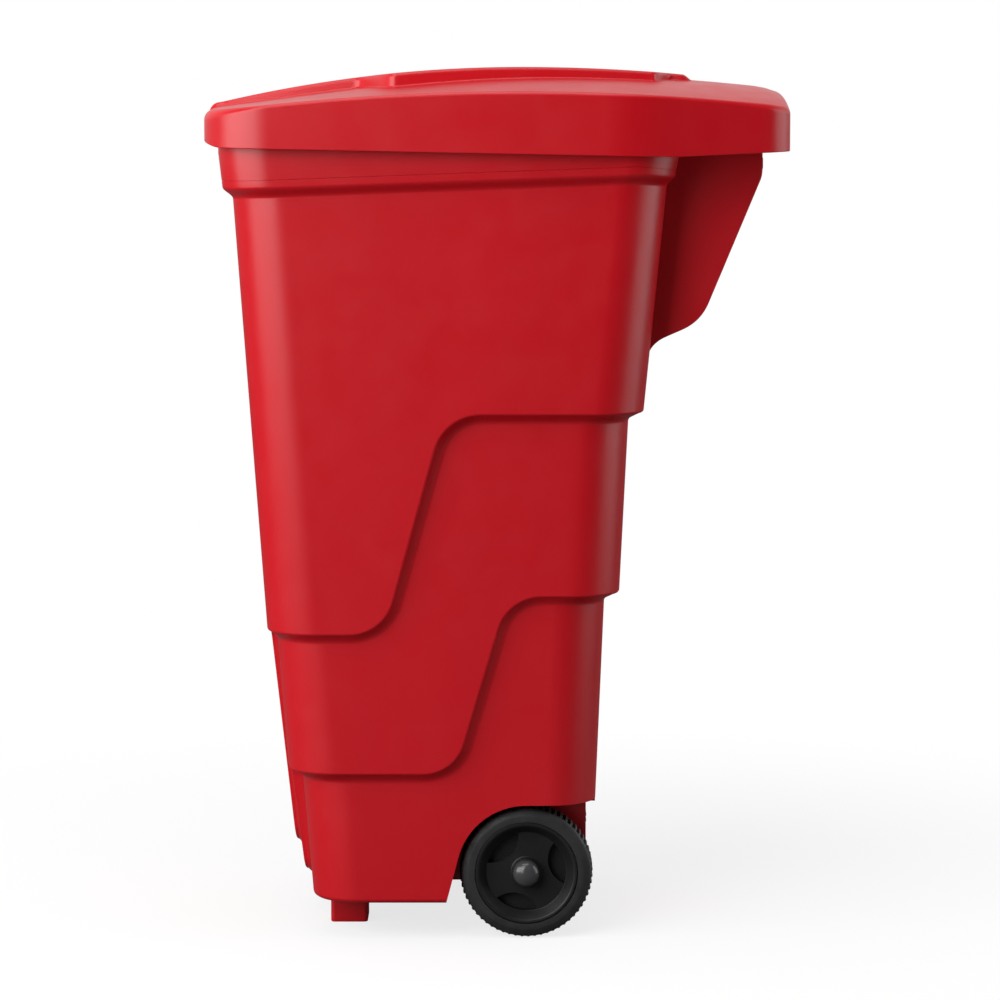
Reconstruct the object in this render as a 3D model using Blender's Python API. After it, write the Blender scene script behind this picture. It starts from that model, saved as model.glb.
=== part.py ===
"""Two-wheeled moulded waste bin with a hinged lid, built piece by piece.

Metres, +Z up. X runs across the bin, along the axle and the hinge. The front
of the bin faces -Y and the handle, the hinge and the wheels are at +Y. The
origin lies on the ground, under the middle of the bin's outer box.
"""

import math
from collections import namedtuple

import bmesh
import bpy
from mathutils import Matrix, Vector

# Lid
LID_LENGTH = 0.592
LID_WIDTH = 0.497
LID_WALL = 0.003
LID_FRONT_CORNER = 0.066
LID_REAR_CORNER = 0.024
LID_EDGE_ROUND = 0.0095
LID_EDGE_CREST_Z = 0.8737
LID_EDGE_CREST_Y = 0.020
LID_EDGE_ARCH_RADIUS = 2.37
LID_SKIRT_FRONT_Z = 0.8182
LID_SKIRT_LOW_Z = 0.8088
LID_SKIRT_LOW_Y = 0.180
LID_SKIRT_REAR_Z = 0.8136
LID_LIP_RISE = 0.0055
LID_LIP_DEPTH = 0.019
LID_CROWN_FRONT = 0.004
LID_CROWN_REAR = 0.0185
LID_CROWN_END_Y = 0.050
LID_CROWN_POWER = 3.0
LID_REAR_FALL = 0.005
LID_REAR_FALL_LENGTH = 0.028
LID_NOSE_RISE = 0.005
LID_NOSE_TAPER = 0.010
LID_NOSE_DEPTH = 0.034
LID_NOSE_SLOPE = 0.015

# Raised deck on the lid: a strip from the front edge, a wide middle and a short tail
DECK_CREST_Z = 0.8985
DECK_CREST_Y = 0.024
DECK_FRONT_RADIUS = 1.33
DECK_REAR_RADIUS = 1.85
DECK_LEAST_HEIGHT = 0.0015
DECK_SLOPE = 0.006
DECK_FRONT_Y = -0.2855
DECK_REAR_Y = 0.205
DECK_STRIP_HALF = 0.118
DECK_WIDE_HALF = 0.182
DECK_WIDE_REAR_HALF = 0.146
DECK_TAIL_HALF = 0.104
DECK_WIDE_FRONT_Y = -0.104
DECK_WIDE_REAR_Y = 0.155
DECK_TAPER = 0.042
DECK_TAIL_TAPER = 0.014
DECK_INNER_SHARE = 0.55

# Body: faces of the rim band and of the three stepped tiers at a height z, and how they slope.
# Below bend_z the front face takes its low slope.
Tier = namedtuple("Tier", "z front rear side front_slope rear_slope side_slope bend_z low_slope")
BAND = Tier(0.800, 0.2822, 0.1821, 0.2335, 0.0, 0.200, 0.030, 0.812, 0.116)
TOP_TIER = Tier(0.760, 0.2680, 0.1702, 0.2220, 0.070, 0.097, 0.040, 0.320, 0.098)
MIDDLE_TIER = Tier(0.360, 0.2310, 0.1259, 0.1954, 0.0765, 0.048, 0.030, 0.170, 0.115)
BASE_TIER = Tier(0.165, 0.2025, 0.1031, 0.1796, 0.0816, 0.0405, 0.030, 0.0, 0.0816)
BODY_CORNER = 0.052
BODY_WALL = 0.003
BODY_UNDERSIDE_Z = 0.038
BODY_BOTTOM_ROUND = 0.005
BODY_MIDDLE_Y = -0.05

# Lower edge of a tier: low at the front, swept up along the side, high at the rear
Sweep = namedtuple("Sweep", "front_z rear_z side_y side_angle side_round tongue_z tongue_half tongue_round")
TOP_SWEEP = Sweep(0.3212, 0.5475, -0.084, math.radians(74.6), 0.048, 0.080, 0.085, 0.026)
MIDDLE_SWEEP = Sweep(0.1746, 0.3595, -0.0157, math.radians(73.5), 0.045, 0.0535, 0.095, 0.020)
TONGUE_ANGLE = math.radians(80.0)
STEP_FALL = 0.007

# Rim seam and bead
SEAM_FRONT_Z = 0.7844
SEAM_FRONT_Y = -0.268
SEAM_RISE = 0.0362
SEAM_FALL = 0.0046
SEAM_FALL_Y = 0.135
SEAM_FALL_LENGTH = 0.050
BEAD_DROP = 0.0064
BEAD_LOW_DROP = 0.0125
BEAD_LOW_PROUD = 0.0045
BEAD_ROOT_DROP = 0.0186
RIM_LIP_WIDTH = 0.006
LID_SEAT_GAP = 0.0008

# Wheels, axle and wheel wells
WHEEL_RADIUS = 0.0689
WHEEL_WIDTH = 0.043
WHEEL_INNER_X = 0.1276
AXLE_Y = 0.030
AXLE_RADIUS = 0.006
TREAD_LUGS = 64
TREAD_DEPTH = 0.0032
LUG_RAMP_SHARE = 0.14
LUG_CREST_SHARE = 0.36
TYRE_BORE = 0.0535
TYRE_SHOULDER = 0.0605
SHOULDER_DROP = 0.006
HUB_RIM_WIDTH = 0.0075
HUB_DISH_DEPTH = 0.009
HUB_BOSS_RADIUS = 0.0185
HUB_WEB = 0.006
POCKET_LENGTH = 0.040
POCKET_WIDTH = 0.019
POCKET_RADIUS = 0.0305
POCKET_FIRST_ANGLE = math.radians(15.0)
CAP_RADIUS = 0.0135
CAP_HEIGHT = 0.011
CAP_WALL = 0.002
CAP_TIP_RADIUS = 0.0001
WASHER_RADIUS = 0.0125
WASHER_THICKNESS = 0.0015
WELL_RADIUS = 0.0725
WELL_FRONT_Y = -0.053
WELL_INNER_X = 0.122
UNDERCUT_DEPTH = 0.0095
UNDERCUT_TOP_Z = 0.136
TUNNEL_UNDERSIDE_Z = 0.052
TUNNEL_ROOF_Z = 0.082
AXLE_BOSS_RADIUS = 0.0145
AXLE_BOSS_INNER_X = 0.106
AXLE_RIB_X = 0.042

# Feet
FOOT_LENGTH = 0.039
FOOT_WIDTH = 0.046
FOOT_Y = -0.1565
FOOT_X = 0.068

# Handle, which stays under the rear of the lid
HANDLE_INSET = 0.0244
HANDLE_TOP_Z = 0.807
HANDLE_LIP_HEIGHT = 0.0133
HANDLE_LIP_THICKNESS = 0.005
HANDLE_SHELF_THICKNESS = 0.004
GUSSET_X = 0.140
GUSSET_THICKNESS = 0.004
GUSSET_SHOULDER_DROP = 0.0187
GUSSET_SHOULDER_ROUND = 0.006
GUSSET_TOE_DROP = 0.1686
GUSSET_TOE_INSET = 0.0626
GUSSET_TOE_ROUND = 0.021
GUSSET_ROOT_DROP = 0.1924
GUSSET_ROOT_ROUND = 0.020

# Hinge, set in from the rear of the lid and up from the handle
HINGE_INSET = 0.038
HINGE_RISE = 0.015
HINGE_PIN_RADIUS = 0.004
HINGE_PIN_HEAD = 0.0055
HINGE_PIN_HEAD_THICKNESS = 0.002
HINGE_EYE_RADIUS = 0.008
HINGE_X = 0.115
HINGE_KNUCKLE_WIDTH = 0.018
HINGE_EAR_WIDTH = 0.006
NOTCH_HALF = 0.176
NOTCH_TOP_Z = 0.8455

# Fits
FIT = 0.0003
OVERLAP = 0.0015
OVER_RIM = 0.06
REACH = 0.4

# How finely curves are divided
FRONT_STEPS = (3, 3, 2, 3, 1)
SIDE_STEPS = (5, 5, 5, 5, 4)
CORNER_STEPS = 5
REAR_STEPS = 3
LID_CORNER_STEPS = 7
LID_SIDE_STEPS = 20
LID_REAR_CORNER_STEPS = 4
LID_REAR_STEPS = 6
WELL_STEPS = 10
EYE_STEPS = 12
LIP_STEPS = 4
LENS_STEPS = 6
DOME_STEPS = 6
BEND_STEPS = 4
ROUND_SIDES = 24
CAP_SIDES = 18
HUB_SIDES = 40

# Values that follow from the sizes above
AXLE_Z = WHEEL_RADIUS
WHEEL_OUTER_X = WHEEL_INNER_X + WHEEL_WIDTH
HUB_RADIUS = TYRE_BORE - FIT
HALF_LENGTH = LID_LENGTH / 2
HALF_WIDTH = LID_WIDTH / 2
HANDLE_REAR_Y = HALF_LENGTH - HANDLE_INSET
HINGE_Y = HALF_LENGTH - HINGE_INSET
HINGE_Z = HANDLE_TOP_Z + HINGE_RISE


def clear_scene():
    """Remove every object so that the script can run again in an open file."""
    for item in list(bpy.data.objects):
        bpy.data.objects.remove(item, do_unlink=True)


def make_material(name, colour, roughness, metallic=0.0):
    """Return a Principled material of one colour."""
    material = bpy.data.materials.new(name)
    material.use_nodes = True
    shader = material.node_tree.nodes["Principled BSDF"]
    shader.inputs["Base Color"].default_value = (*colour, 1.0)
    shader.inputs["Roughness"].default_value = roughness
    shader.inputs["Metallic"].default_value = metallic
    return material


def make_object(name, vertices, faces, material=None):
    """Return a mesh object with its faces turned outwards and its polygons cut into triangles."""
    mesh = bpy.data.meshes.new(name)
    shape = bmesh.new()
    corners = [shape.verts.new(point) for point in vertices]
    for face in faces:
        shape.faces.new([corners[index] for index in face])
    bmesh.ops.recalc_face_normals(shape, faces=shape.faces)
    bmesh.ops.triangulate(shape, faces=shape.faces)
    shape.to_mesh(mesh)
    shape.free()
    item = bpy.data.objects.new(name, mesh)
    bpy.context.scene.collection.objects.link(item)
    if material:
        mesh.materials.append(material)
    return item


def make_cutter(name, vertices, faces):
    """Return a helper solid that only shapes other objects."""
    item = make_object(name, vertices, faces)
    item.hide_render = True
    item.display_type = "WIRE"
    return item


def combine(target, helper, operation):
    """Cut a helper solid out of an object, or join it on."""
    modifier = target.modifiers.new(helper.name, "BOOLEAN")
    modifier.operation = operation
    modifier.solver = "EXACT"
    modifier.object = helper


def set_origin(item, point):
    """Move an object's origin to a point and leave its shape where it is."""
    item.data.transform(Matrix.Translation(-Vector(point)))
    item.location = point


def shade(item, degrees=35.0):
    """Shade an object smooth, with its sharp edges kept."""
    item.data.shade_smooth()
    item.data.set_sharp_from_angle(angle=math.radians(degrees))


def strips(rings):
    """Return the faces between stacked rings that hold as many points each."""
    count = len(rings[0])
    faces = []
    for level in range(len(rings) - 1):
        for index in range(count):
            after = (index + 1) % count
            low = level * count
            faces.append((low + index, low + after, low + count + after, low + count + index))
    return faces


def prism(profile, start, end):
    """Return vertices and faces of a (y, z) outline drawn out along X."""
    count = len(profile)
    vertices = [(start, y, z) for y, z in profile] + [(end, y, z) for y, z in profile]
    faces = strips([range(count), range(count)])
    faces.append(tuple(range(count)))
    faces.append(tuple(range(count, 2 * count)))
    return vertices, faces


def box(low, high):
    """Return vertices and faces of a box between two corners."""
    profile = [(low[1], low[2]), (high[1], low[2]), (high[1], high[2]), (low[1], high[2])]
    return prism(profile, low[0], high[0])


def disc(radius, y, z, sides=ROUND_SIDES):
    """Return a (y, z) circle outline."""
    turns = [2 * math.pi * index / sides for index in range(sides)]
    return [(y + radius * math.cos(turn), z + radius * math.sin(turn)) for turn in turns]


def turned(profile, y, z, sides=ROUND_SIDES):
    """Return vertices and faces of a closed (x, radius) outline turned about an axis along X."""
    rings = [disc(1.0, 0.0, 0.0, sides)] * len(profile)
    vertices = []
    for (x, radius), ring in zip(profile, rings):
        vertices += [(x, y + radius * py, z + radius * pz) for py, pz in ring]
    faces = strips(rings)
    last = (len(profile) - 1) * sides
    for index in range(sides):
        after = (index + 1) % sides
        faces.append((last + index, last + after, after, index))
    return vertices, faces


def capped(profile, y, z, sides=ROUND_SIDES):
    """Return vertices and faces of an open (x, radius) outline turned about X, with flat ends."""
    vertices, faces = turned(profile, y, z, sides)
    faces = faces[:-sides]
    last = (len(profile) - 1) * sides
    faces.append(tuple(range(sides)))
    faces.append(tuple(range(last, last + sides)))
    return vertices, faces


# Lid surface

def smooth_rise(value):
    """Return a ramp from 0 to 1 with soft ends."""
    value = min(max(value, 0.0), 1.0)
    return value * value * (3.0 - 2.0 * value)


def lid_edge_z(y):
    """Return the height of the lid's long top edge, a shallow arch."""
    reach = y - LID_EDGE_CREST_Y
    return LID_EDGE_CREST_Z - reach * reach / (2 * LID_EDGE_ARCH_RADIUS)


def lid_crown_z(x, y):
    """Return the height of the lid's crowned top, which falls away at its rear end."""
    rise = smooth_rise((y + HALF_LENGTH) / (LID_CROWN_END_Y + HALF_LENGTH))
    crown = LID_CROWN_FRONT + (LID_CROWN_REAR - LID_CROWN_FRONT) * rise
    fall = max(1.0 + (y - HALF_LENGTH) / LID_REAR_FALL_LENGTH, 0.0)
    height = crown * (1.0 - abs(x / HALF_WIDTH) ** LID_CROWN_POWER)
    return lid_edge_z(y) + height - LID_REAR_FALL * fall * fall


def lid_top_z(x, y):
    """Return the height of the lid's top without the deck, raised where the deck meets the front edge."""
    inside = smooth_rise((DECK_STRIP_HALF + LID_NOSE_TAPER / 2 - abs(x)) / LID_NOSE_TAPER)
    ahead = smooth_rise((LID_NOSE_DEPTH - HALF_LENGTH - y) / LID_NOSE_SLOPE)
    return lid_crown_z(x, y) + LID_NOSE_RISE * inside * ahead


def deck_z(x, y):
    """Return the height of the deck, which is level across the lid and arched along it."""
    along = y - DECK_CREST_Y
    radius = DECK_FRONT_RADIUS if along < 0 else DECK_REAR_RADIUS
    arch = DECK_CREST_Z - along * along / (2 * radius)
    return max(arch, lid_top_z(x, y) + DECK_LEAST_HEIGHT)


def lid_skirt_z(y):
    """Return the height of the skirt's lower edge, which lifts to a lip at the front."""
    if y < LID_SKIRT_LOW_Y:
        share = (y + HALF_LENGTH) / (LID_SKIRT_LOW_Y + HALF_LENGTH)
        lip = max(1.0 - (y + HALF_LENGTH) / LID_LIP_DEPTH, 0.0)
        return LID_SKIRT_FRONT_Z + (LID_SKIRT_LOW_Z - LID_SKIRT_FRONT_Z) * share + LID_LIP_RISE * lip * lip
    share = (y - LID_SKIRT_LOW_Y) / (HALF_LENGTH - LID_SKIRT_LOW_Y)
    return LID_SKIRT_LOW_Z + (LID_SKIRT_REAR_Z - LID_SKIRT_LOW_Z) * share


def deck_half_width(y):
    """Return half the width of the raised deck at a place along the lid."""
    front = smooth_rise((y - DECK_WIDE_FRONT_Y + DECK_TAPER) / DECK_TAPER)
    along = max(y - DECK_WIDE_FRONT_Y, 0.0) / (DECK_WIDE_REAR_Y - DECK_WIDE_FRONT_Y)
    wide = DECK_WIDE_HALF + (DECK_WIDE_REAR_HALF - DECK_WIDE_HALF) * along
    rear = smooth_rise((DECK_WIDE_REAR_Y + DECK_TAIL_TAPER - y) / DECK_TAIL_TAPER)
    width = DECK_STRIP_HALF + (wide - DECK_STRIP_HALF) * front
    return DECK_TAIL_HALF + (width - DECK_TAIL_HALF) * rear


def arc_points(centre_x, centre_y, radius, start, end, steps):
    """Return points of an arc in plan, without its first point."""
    points = []
    for index in range(1, steps + 1):
        turn = start + (end - start) * index / steps
        points.append((centre_x + radius * math.cos(turn), centre_y + radius * math.sin(turn)))
    return points


def mirrored(half):
    """Return a closed ring from its +X half, which runs from the front to the rear."""
    return half + [(-point[0], *point[1:]) for point in reversed(half[1:-1])]


def lid_outline(inset):
    """Return the lid's plan outline, drawn in by an inset."""
    width = HALF_WIDTH - inset
    length = HALF_LENGTH - inset
    front = LID_FRONT_CORNER - inset
    rear = LID_REAR_CORNER - inset
    inner = DECK_STRIP_HALF - LID_NOSE_TAPER / 2
    outer = DECK_STRIP_HALF + LID_NOSE_TAPER / 2
    end = width - front
    half = [(x, -length) for x in (0.0, inner / 2, inner, outer, (outer + end) / 2, end)]
    half += arc_points(end, front - length, front, -math.pi / 2, 0.0, LID_CORNER_STEPS)
    start, end = front - length, length - rear
    half += [(width, start + (end - start) * index / LID_SIDE_STEPS) for index in range(1, LID_SIDE_STEPS + 1)]
    half += arc_points(width - rear, length - rear, rear, 0.0, math.pi / 2, LID_REAR_CORNER_STEPS)
    shares = [1 - index / LID_REAR_STEPS for index in range(1, LID_REAR_STEPS + 1)]
    half += [((width - rear) * share, length) for share in shares]
    return mirrored(half)


def deck_ring(inset, share, height, drop):
    """Return a ring of the deck, drawn in by an inset and by a share, a drop below a height function."""
    middle = (DECK_FRONT_Y + DECK_REAR_Y) / 2
    length = (DECK_REAR_Y - DECK_FRONT_Y) / 2 - inset
    ring = []
    for x, y in lid_outline(0.0):
        deck_y = middle + y / HALF_LENGTH * length
        deck_x = x / HALF_WIDTH * (deck_half_width(deck_y) - inset) * share
        deck_y = middle + (deck_y - middle) * share
        ring.append((deck_x, deck_y, height(deck_x, deck_y) - drop))
    return ring


def between(first, second, share, drop):
    """Return a ring part way between two rings in plan, laid on the lid's top or under it."""
    ring = []
    for start, end in zip(first, second):
        x = start[0] + (end[0] - start[0]) * share
        y = start[1] + (end[1] - start[1]) * share
        ring.append((x, y, lid_top_z(x, y) - drop))
    return ring


def lid_shell_rings(inset, drop):
    """Return the lid's rings from the skirt's lower edge to the middle of the deck."""
    low = [(x, y, lid_skirt_z(y)) for x, y in lid_outline(inset)]
    side = [(x, y, lid_top_z(x, y) - LID_EDGE_ROUND) for x, y in lid_outline(inset)]
    bend = LID_EDGE_ROUND * (1.0 - math.sqrt(0.5))
    turn = [(x, y, lid_top_z(x, y) - bend) for x, y in lid_outline(max(bend, inset + bend / 3))]
    top = [(x, y, lid_top_z(x, y) - drop) for x, y in lid_outline(LID_EDGE_ROUND + inset / 2)]
    foot = deck_ring(drop, 1.0, lid_top_z, drop)
    shoulder = [between(top, foot, share, drop) for share in (1 / 3, 2 / 3)]
    edge = deck_ring(drop + DECK_SLOPE, 1.0, deck_z, drop)
    inner = deck_ring(drop + DECK_SLOPE, DECK_INNER_SHARE, deck_z, drop)
    if drop:
        turn = [(x, y, z - drop) for x, y, z in turn]
    return [low, side, turn, top, *shoulder, foot, edge, inner]


def lid_shell():
    """Return vertices and faces of the lid's closed shell."""
    outer = lid_shell_rings(0.0, 0.0)
    inner = lid_shell_rings(LID_WALL, LID_WALL)
    rings = list(reversed(inner)) + outer
    vertices = [point for ring in rings for point in ring]
    faces = strips(rings)
    count = len(rings[0])
    middle_y = (DECK_FRONT_Y + DECK_REAR_Y) / 2
    top = deck_z(0.0, middle_y)
    for start, height in ((0, top - LID_WALL), (len(vertices) - count, top)):
        centre = len(vertices)
        vertices.append((0.0, middle_y, height))
        for index in range(count):
            faces.append((start + index, start + (index + 1) % count, centre))
    return vertices, faces


# Body surface

def front_y(tier, z, inset):
    """Return the front face of a tier at a height."""
    upper = max(z, tier.bend_z)
    lower = min(z - tier.bend_z, 0.0)
    return inset - tier.front - tier.front_slope * (upper - tier.z) - tier.low_slope * lower


def rear_y(tier, z, inset):
    """Return the rear face of a tier at a height."""
    return tier.rear + tier.rear_slope * (z - tier.z) - inset


def side_x(tier, z, inset):
    """Return the side face of a tier at a height."""
    return tier.side + tier.side_slope * (z - tier.z) - inset


def swept_line(start, end, middle, angle, radius, steps):
    """Return points and unit tangents of a line that is level, sweeps up and is level again.

    start and end are (u, z); middle is u where the sweep is half way up.
    """
    rise = end[1] - start[1]
    half_run = rise / 2 / math.tan(angle)
    tangent = radius * math.tan(angle / 2)
    slope = Vector((math.cos(angle), math.sin(angle)))
    low = Vector((middle - half_run, start[1]))
    high = Vector((middle + half_run, end[1]))
    level = Vector((1.0, 0.0))
    low_centre = low - level * tangent + Vector((0.0, radius))
    high_centre = high + level * tangent - Vector((0.0, radius))
    points = [(Vector(start), level)]
    for index in range(1, steps[0] + 1):
        points.append((Vector(start).lerp(low - level * tangent, index / steps[0]), level))
    for index in range(1, steps[1] + 1):
        turn = angle * index / steps[1]
        spot = low_centre + radius * Vector((math.sin(turn), -math.cos(turn)))
        points.append((spot, Vector((math.cos(turn), math.sin(turn)))))
    for index in range(1, steps[2] + 1):
        spot = (low + slope * tangent).lerp(high - slope * tangent, index / steps[2])
        points.append((spot, slope))
    for index in range(1, steps[3] + 1):
        turn = angle * (1.0 - index / steps[3])
        spot = high_centre + radius * Vector((-math.sin(turn), math.cos(turn)))
        points.append((spot, Vector((math.cos(turn), math.sin(turn)))))
    for index in range(1, steps[4] + 1):
        points.append(((high + level * tangent).lerp(Vector(end), index / steps[4]), level))
    return points


def shifted(points, fall):
    """Return a swept line's points moved square to the line, down and away from the tier above."""
    return [spot + Vector((way.y, -way.x)) * fall for spot, way in points]


def body_corner(tier, z, inset, start, end):
    """Return a corner of a tier at one height, without its first point."""
    radius = BODY_CORNER - inset
    centre_x = side_x(tier, z, inset) - radius
    front = start < 0
    centre_y = front_y(tier, z, inset) + radius if front else rear_y(tier, z, inset) - radius
    return [(x, y, z) for x, y in arc_points(centre_x, centre_y, radius, start, end, CORNER_STEPS)]


def edge_row(tier, sweep, inset, fall):
    """Return a ring along the lower edge of a tier, laid on a tier's faces and moved down by a fall."""
    radius = BODY_CORNER - inset
    front_end = side_x(tier, sweep.front_z - fall, inset) - radius
    front_line = swept_line((0.0, sweep.tongue_z), (front_end, sweep.front_z), sweep.tongue_half,
                            TONGUE_ANGLE, sweep.tongue_round, FRONT_STEPS)
    half = [(x, front_y(tier, z, inset), z) for x, z in shifted(front_line, fall)]
    half += body_corner(tier, sweep.front_z - fall, inset, -math.pi / 2, 0.0)
    start = (front_y(tier, sweep.front_z - fall, inset) + radius, sweep.front_z)
    end = (rear_y(tier, sweep.rear_z - fall, inset) - radius, sweep.rear_z)
    side_line = swept_line(start, end, sweep.side_y, sweep.side_angle, sweep.side_round, SIDE_STEPS)
    half += [(side_x(tier, z, inset), y, z) for y, z in shifted(side_line, fall)[1:]]
    half += body_corner(tier, sweep.rear_z - fall, inset, 0.0, math.pi / 2)
    x, y, z = half[-1]
    half += [(x * (1 - index / REAR_STEPS), y, z) for index in range(1, REAR_STEPS + 1)]
    return mirrored(half)


def level_row(tier, height, inset, sweep):
    """Return a ring round a tier, at the height that a function of x and y gives.

    Its points stand over those of a swept edge, so that the two join without folds.
    """
    radius = BODY_CORNER - inset
    z = tier.z
    side = side_x(tier, z, inset)
    front = front_y(tier, z, inset)
    end = rear_y(tier, z, inset) - radius
    front_line = swept_line((0.0, sweep.tongue_z), (side - radius, sweep.front_z), sweep.tongue_half,
                            TONGUE_ANGLE, sweep.tongue_round, FRONT_STEPS)
    half = [(spot.x, front) for spot, way in front_line]
    half += [point[:2] for point in body_corner(tier, z, inset, -math.pi / 2, 0.0)]
    side_line = swept_line((front + radius, sweep.front_z), (end, sweep.rear_z), sweep.side_y,
                           sweep.side_angle, sweep.side_round, SIDE_STEPS)
    half += [(side, spot.x) for spot, way in side_line[1:]]
    half += [point[:2] for point in body_corner(tier, z, inset, 0.0, math.pi / 2)]
    x, y = half[-1]
    half += [(x * (1 - index / REAR_STEPS), y) for index in range(1, REAR_STEPS + 1)]
    rough = [fit_to_tier(tier, x, y, height(x, y), inset) for x, y in half]
    heights = [height(x, y) for x, y, z in rough]
    return mirrored([fit_to_tier(tier, x, y, z, inset) for (x, y), z in zip(half, heights)])


def fit_to_tier(tier, x, y, z, inset):
    """Return a plan point of a tier's reference height, stretched to the tier's faces at a height."""
    middle_here = (front_y(tier, z, inset) + rear_y(tier, z, inset)) / 2
    middle_there = (front_y(tier, tier.z, inset) + rear_y(tier, tier.z, inset)) / 2
    length_here = rear_y(tier, z, inset) - front_y(tier, z, inset)
    length_there = rear_y(tier, tier.z, inset) - front_y(tier, tier.z, inset)
    wide = side_x(tier, z, inset) / side_x(tier, tier.z, inset)
    return (x * wide, middle_here + (y - middle_there) * length_here / length_there, z)


def seam_z(x, y):
    """Return the height of the seam round the rim, which climbs and dips again at the rear corners."""
    fall = SEAM_FALL * smooth_rise((y - SEAM_FALL_Y) / SEAM_FALL_LENGTH)
    return SEAM_FRONT_Z + (y - SEAM_FRONT_Y) * SEAM_RISE - fall


def below_seam(drop):
    """Return a height function that runs a drop below the seam."""
    return lambda x, y: seam_z(x, y) - drop


def rim_z(x, y):
    """Return the height of the rim, which carries the closed lid."""
    return lid_crown_z(x, y) - LID_WALL - LID_SEAT_GAP


def at_height(z):
    """Return a height function of one level."""
    return lambda x, y: z


def close_stack(rings, top_centre):
    """Return vertices and faces of stacked rings, closed by a point at the top and a flat face below."""
    vertices = [point for ring in rings for point in ring]
    faces = strips(rings)
    count = len(rings[0])
    centre = len(vertices)
    vertices.append(top_centre)
    faces += [(index, (index + 1) % count, centre) for index in range(count)]
    faces.append(tuple(range(centre - count, centre)))
    return vertices, faces


def body_outside():
    """Return vertices and faces of the body's outer form, filled."""
    rings = [
        level_row(BAND, rim_z, RIM_LIP_WIDTH, TOP_SWEEP),
        level_row(BAND, rim_z, 0.0, TOP_SWEEP),
        level_row(BAND, at_height(BAND.bend_z), 0.0, TOP_SWEEP),
        level_row(BAND, seam_z, 0.0, TOP_SWEEP),
        level_row(BAND, below_seam(BEAD_DROP), 0.0, TOP_SWEEP),
        level_row(TOP_TIER, below_seam(BEAD_LOW_DROP), -BEAD_LOW_PROUD, TOP_SWEEP),
        level_row(TOP_TIER, below_seam(BEAD_ROOT_DROP), 0.0, TOP_SWEEP),
        edge_row(TOP_TIER, TOP_SWEEP, 0.0, 0.0),
        edge_row(MIDDLE_TIER, TOP_SWEEP, 0.0, STEP_FALL),
        edge_row(MIDDLE_TIER, MIDDLE_SWEEP, 0.0, 0.0),
        edge_row(BASE_TIER, MIDDLE_SWEEP, 0.0, STEP_FALL),
        level_row(BASE_TIER, at_height(BODY_UNDERSIDE_Z + BODY_BOTTOM_ROUND), 0.0, MIDDLE_SWEEP),
        level_row(BASE_TIER, at_height(BODY_UNDERSIDE_Z), BODY_BOTTOM_ROUND, MIDDLE_SWEEP),
    ]
    return close_stack(rings, (0.0, BODY_MIDDLE_Y, rim_z(0.0, BODY_MIDDLE_Y)))


def body_inside():
    """Return vertices and faces of the space inside the body, taller than the rim."""
    wall = BODY_WALL
    floor = BODY_UNDERSIDE_Z + wall
    rings = [
        level_row(BAND, lambda x, y: rim_z(x, y) + OVER_RIM, wall, TOP_SWEEP),
        level_row(BAND, below_seam(-wall), wall, TOP_SWEEP),
        level_row(TOP_TIER, below_seam(BEAD_ROOT_DROP - wall), wall, TOP_SWEEP),
        edge_row(TOP_TIER, TOP_SWEEP, wall, -wall),
        edge_row(MIDDLE_TIER, TOP_SWEEP, wall, STEP_FALL - wall),
        edge_row(MIDDLE_TIER, MIDDLE_SWEEP, wall, -wall),
        edge_row(BASE_TIER, MIDDLE_SWEEP, wall, STEP_FALL - wall),
        level_row(BASE_TIER, at_height(floor + BODY_BOTTOM_ROUND), wall, MIDDLE_SWEEP),
        level_row(BASE_TIER, at_height(floor), wall + BODY_BOTTOM_ROUND, MIDDLE_SWEEP),
    ]
    return close_stack(rings, (0.0, BODY_MIDDLE_Y, rim_z(0.0, BODY_MIDDLE_Y) + OVER_RIM))


def well_profile(grow):
    """Return the (y, z) outline of a wheel well, open to the ground and to the rear."""
    radius = WELL_RADIUS + grow
    foot = Vector((WELL_FRONT_Y - grow - AXLE_Y, BODY_UNDERSIDE_Z - AXLE_Z))
    touch = math.atan2(foot.y, foot.x) % (2 * math.pi) - math.acos(radius / foot.length)
    outline = [(AXLE_Y + foot.x, -REACH), (AXLE_Y + foot.x, BODY_UNDERSIDE_Z)]
    for index in range(WELL_STEPS + 1):
        turn = touch + (math.pi / 2 - touch) * index / WELL_STEPS
        outline.append((AXLE_Y + radius * math.cos(turn), AXLE_Z + radius * math.sin(turn)))
    outline += [(REACH, AXLE_Z + radius), (REACH, -REACH)]
    return outline


def under_cutters(label, grow):
    """Return helper solids of the wells and of the drawn-in underside, grown by a wall."""
    inner_x = WELL_INNER_X - grow
    rear = rear_y(BASE_TIER, UNDERCUT_TOP_Z, 0.0) - UNDERCUT_DEPTH - grow
    tunnel = TUNNEL_ROOF_Z + grow if grow else TUNNEL_UNDERSIDE_Z
    across = WELL_INNER_X + OVERLAP
    low_front = WELL_FRONT_Y - grow
    return [
        make_cutter(f"{label}_well_right", *prism(well_profile(grow), inner_x, REACH)),
        make_cutter(f"{label}_well_left", *prism(well_profile(grow), -REACH, -inner_x)),
        make_cutter(f"{label}_rear", *box((-across, rear, -REACH), (across, REACH, UNDERCUT_TOP_Z + grow))),
        make_cutter(f"{label}_tunnel", *box((-across, low_front, -REACH), (across, REACH, tunnel))),
    ]


def bend(before, corner, after, reach):
    """Return points of a curve that cuts a corner between two straight lines."""
    corner = Vector(corner)
    start = corner + (Vector(before) - corner).normalized() * reach
    end = corner + (Vector(after) - corner).normalized() * reach
    points = []
    for index in range(BEND_STEPS + 1):
        share = index / BEND_STEPS
        points.append(tuple(start.lerp(corner, share).lerp(corner.lerp(end, share), share)))
    return points


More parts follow.
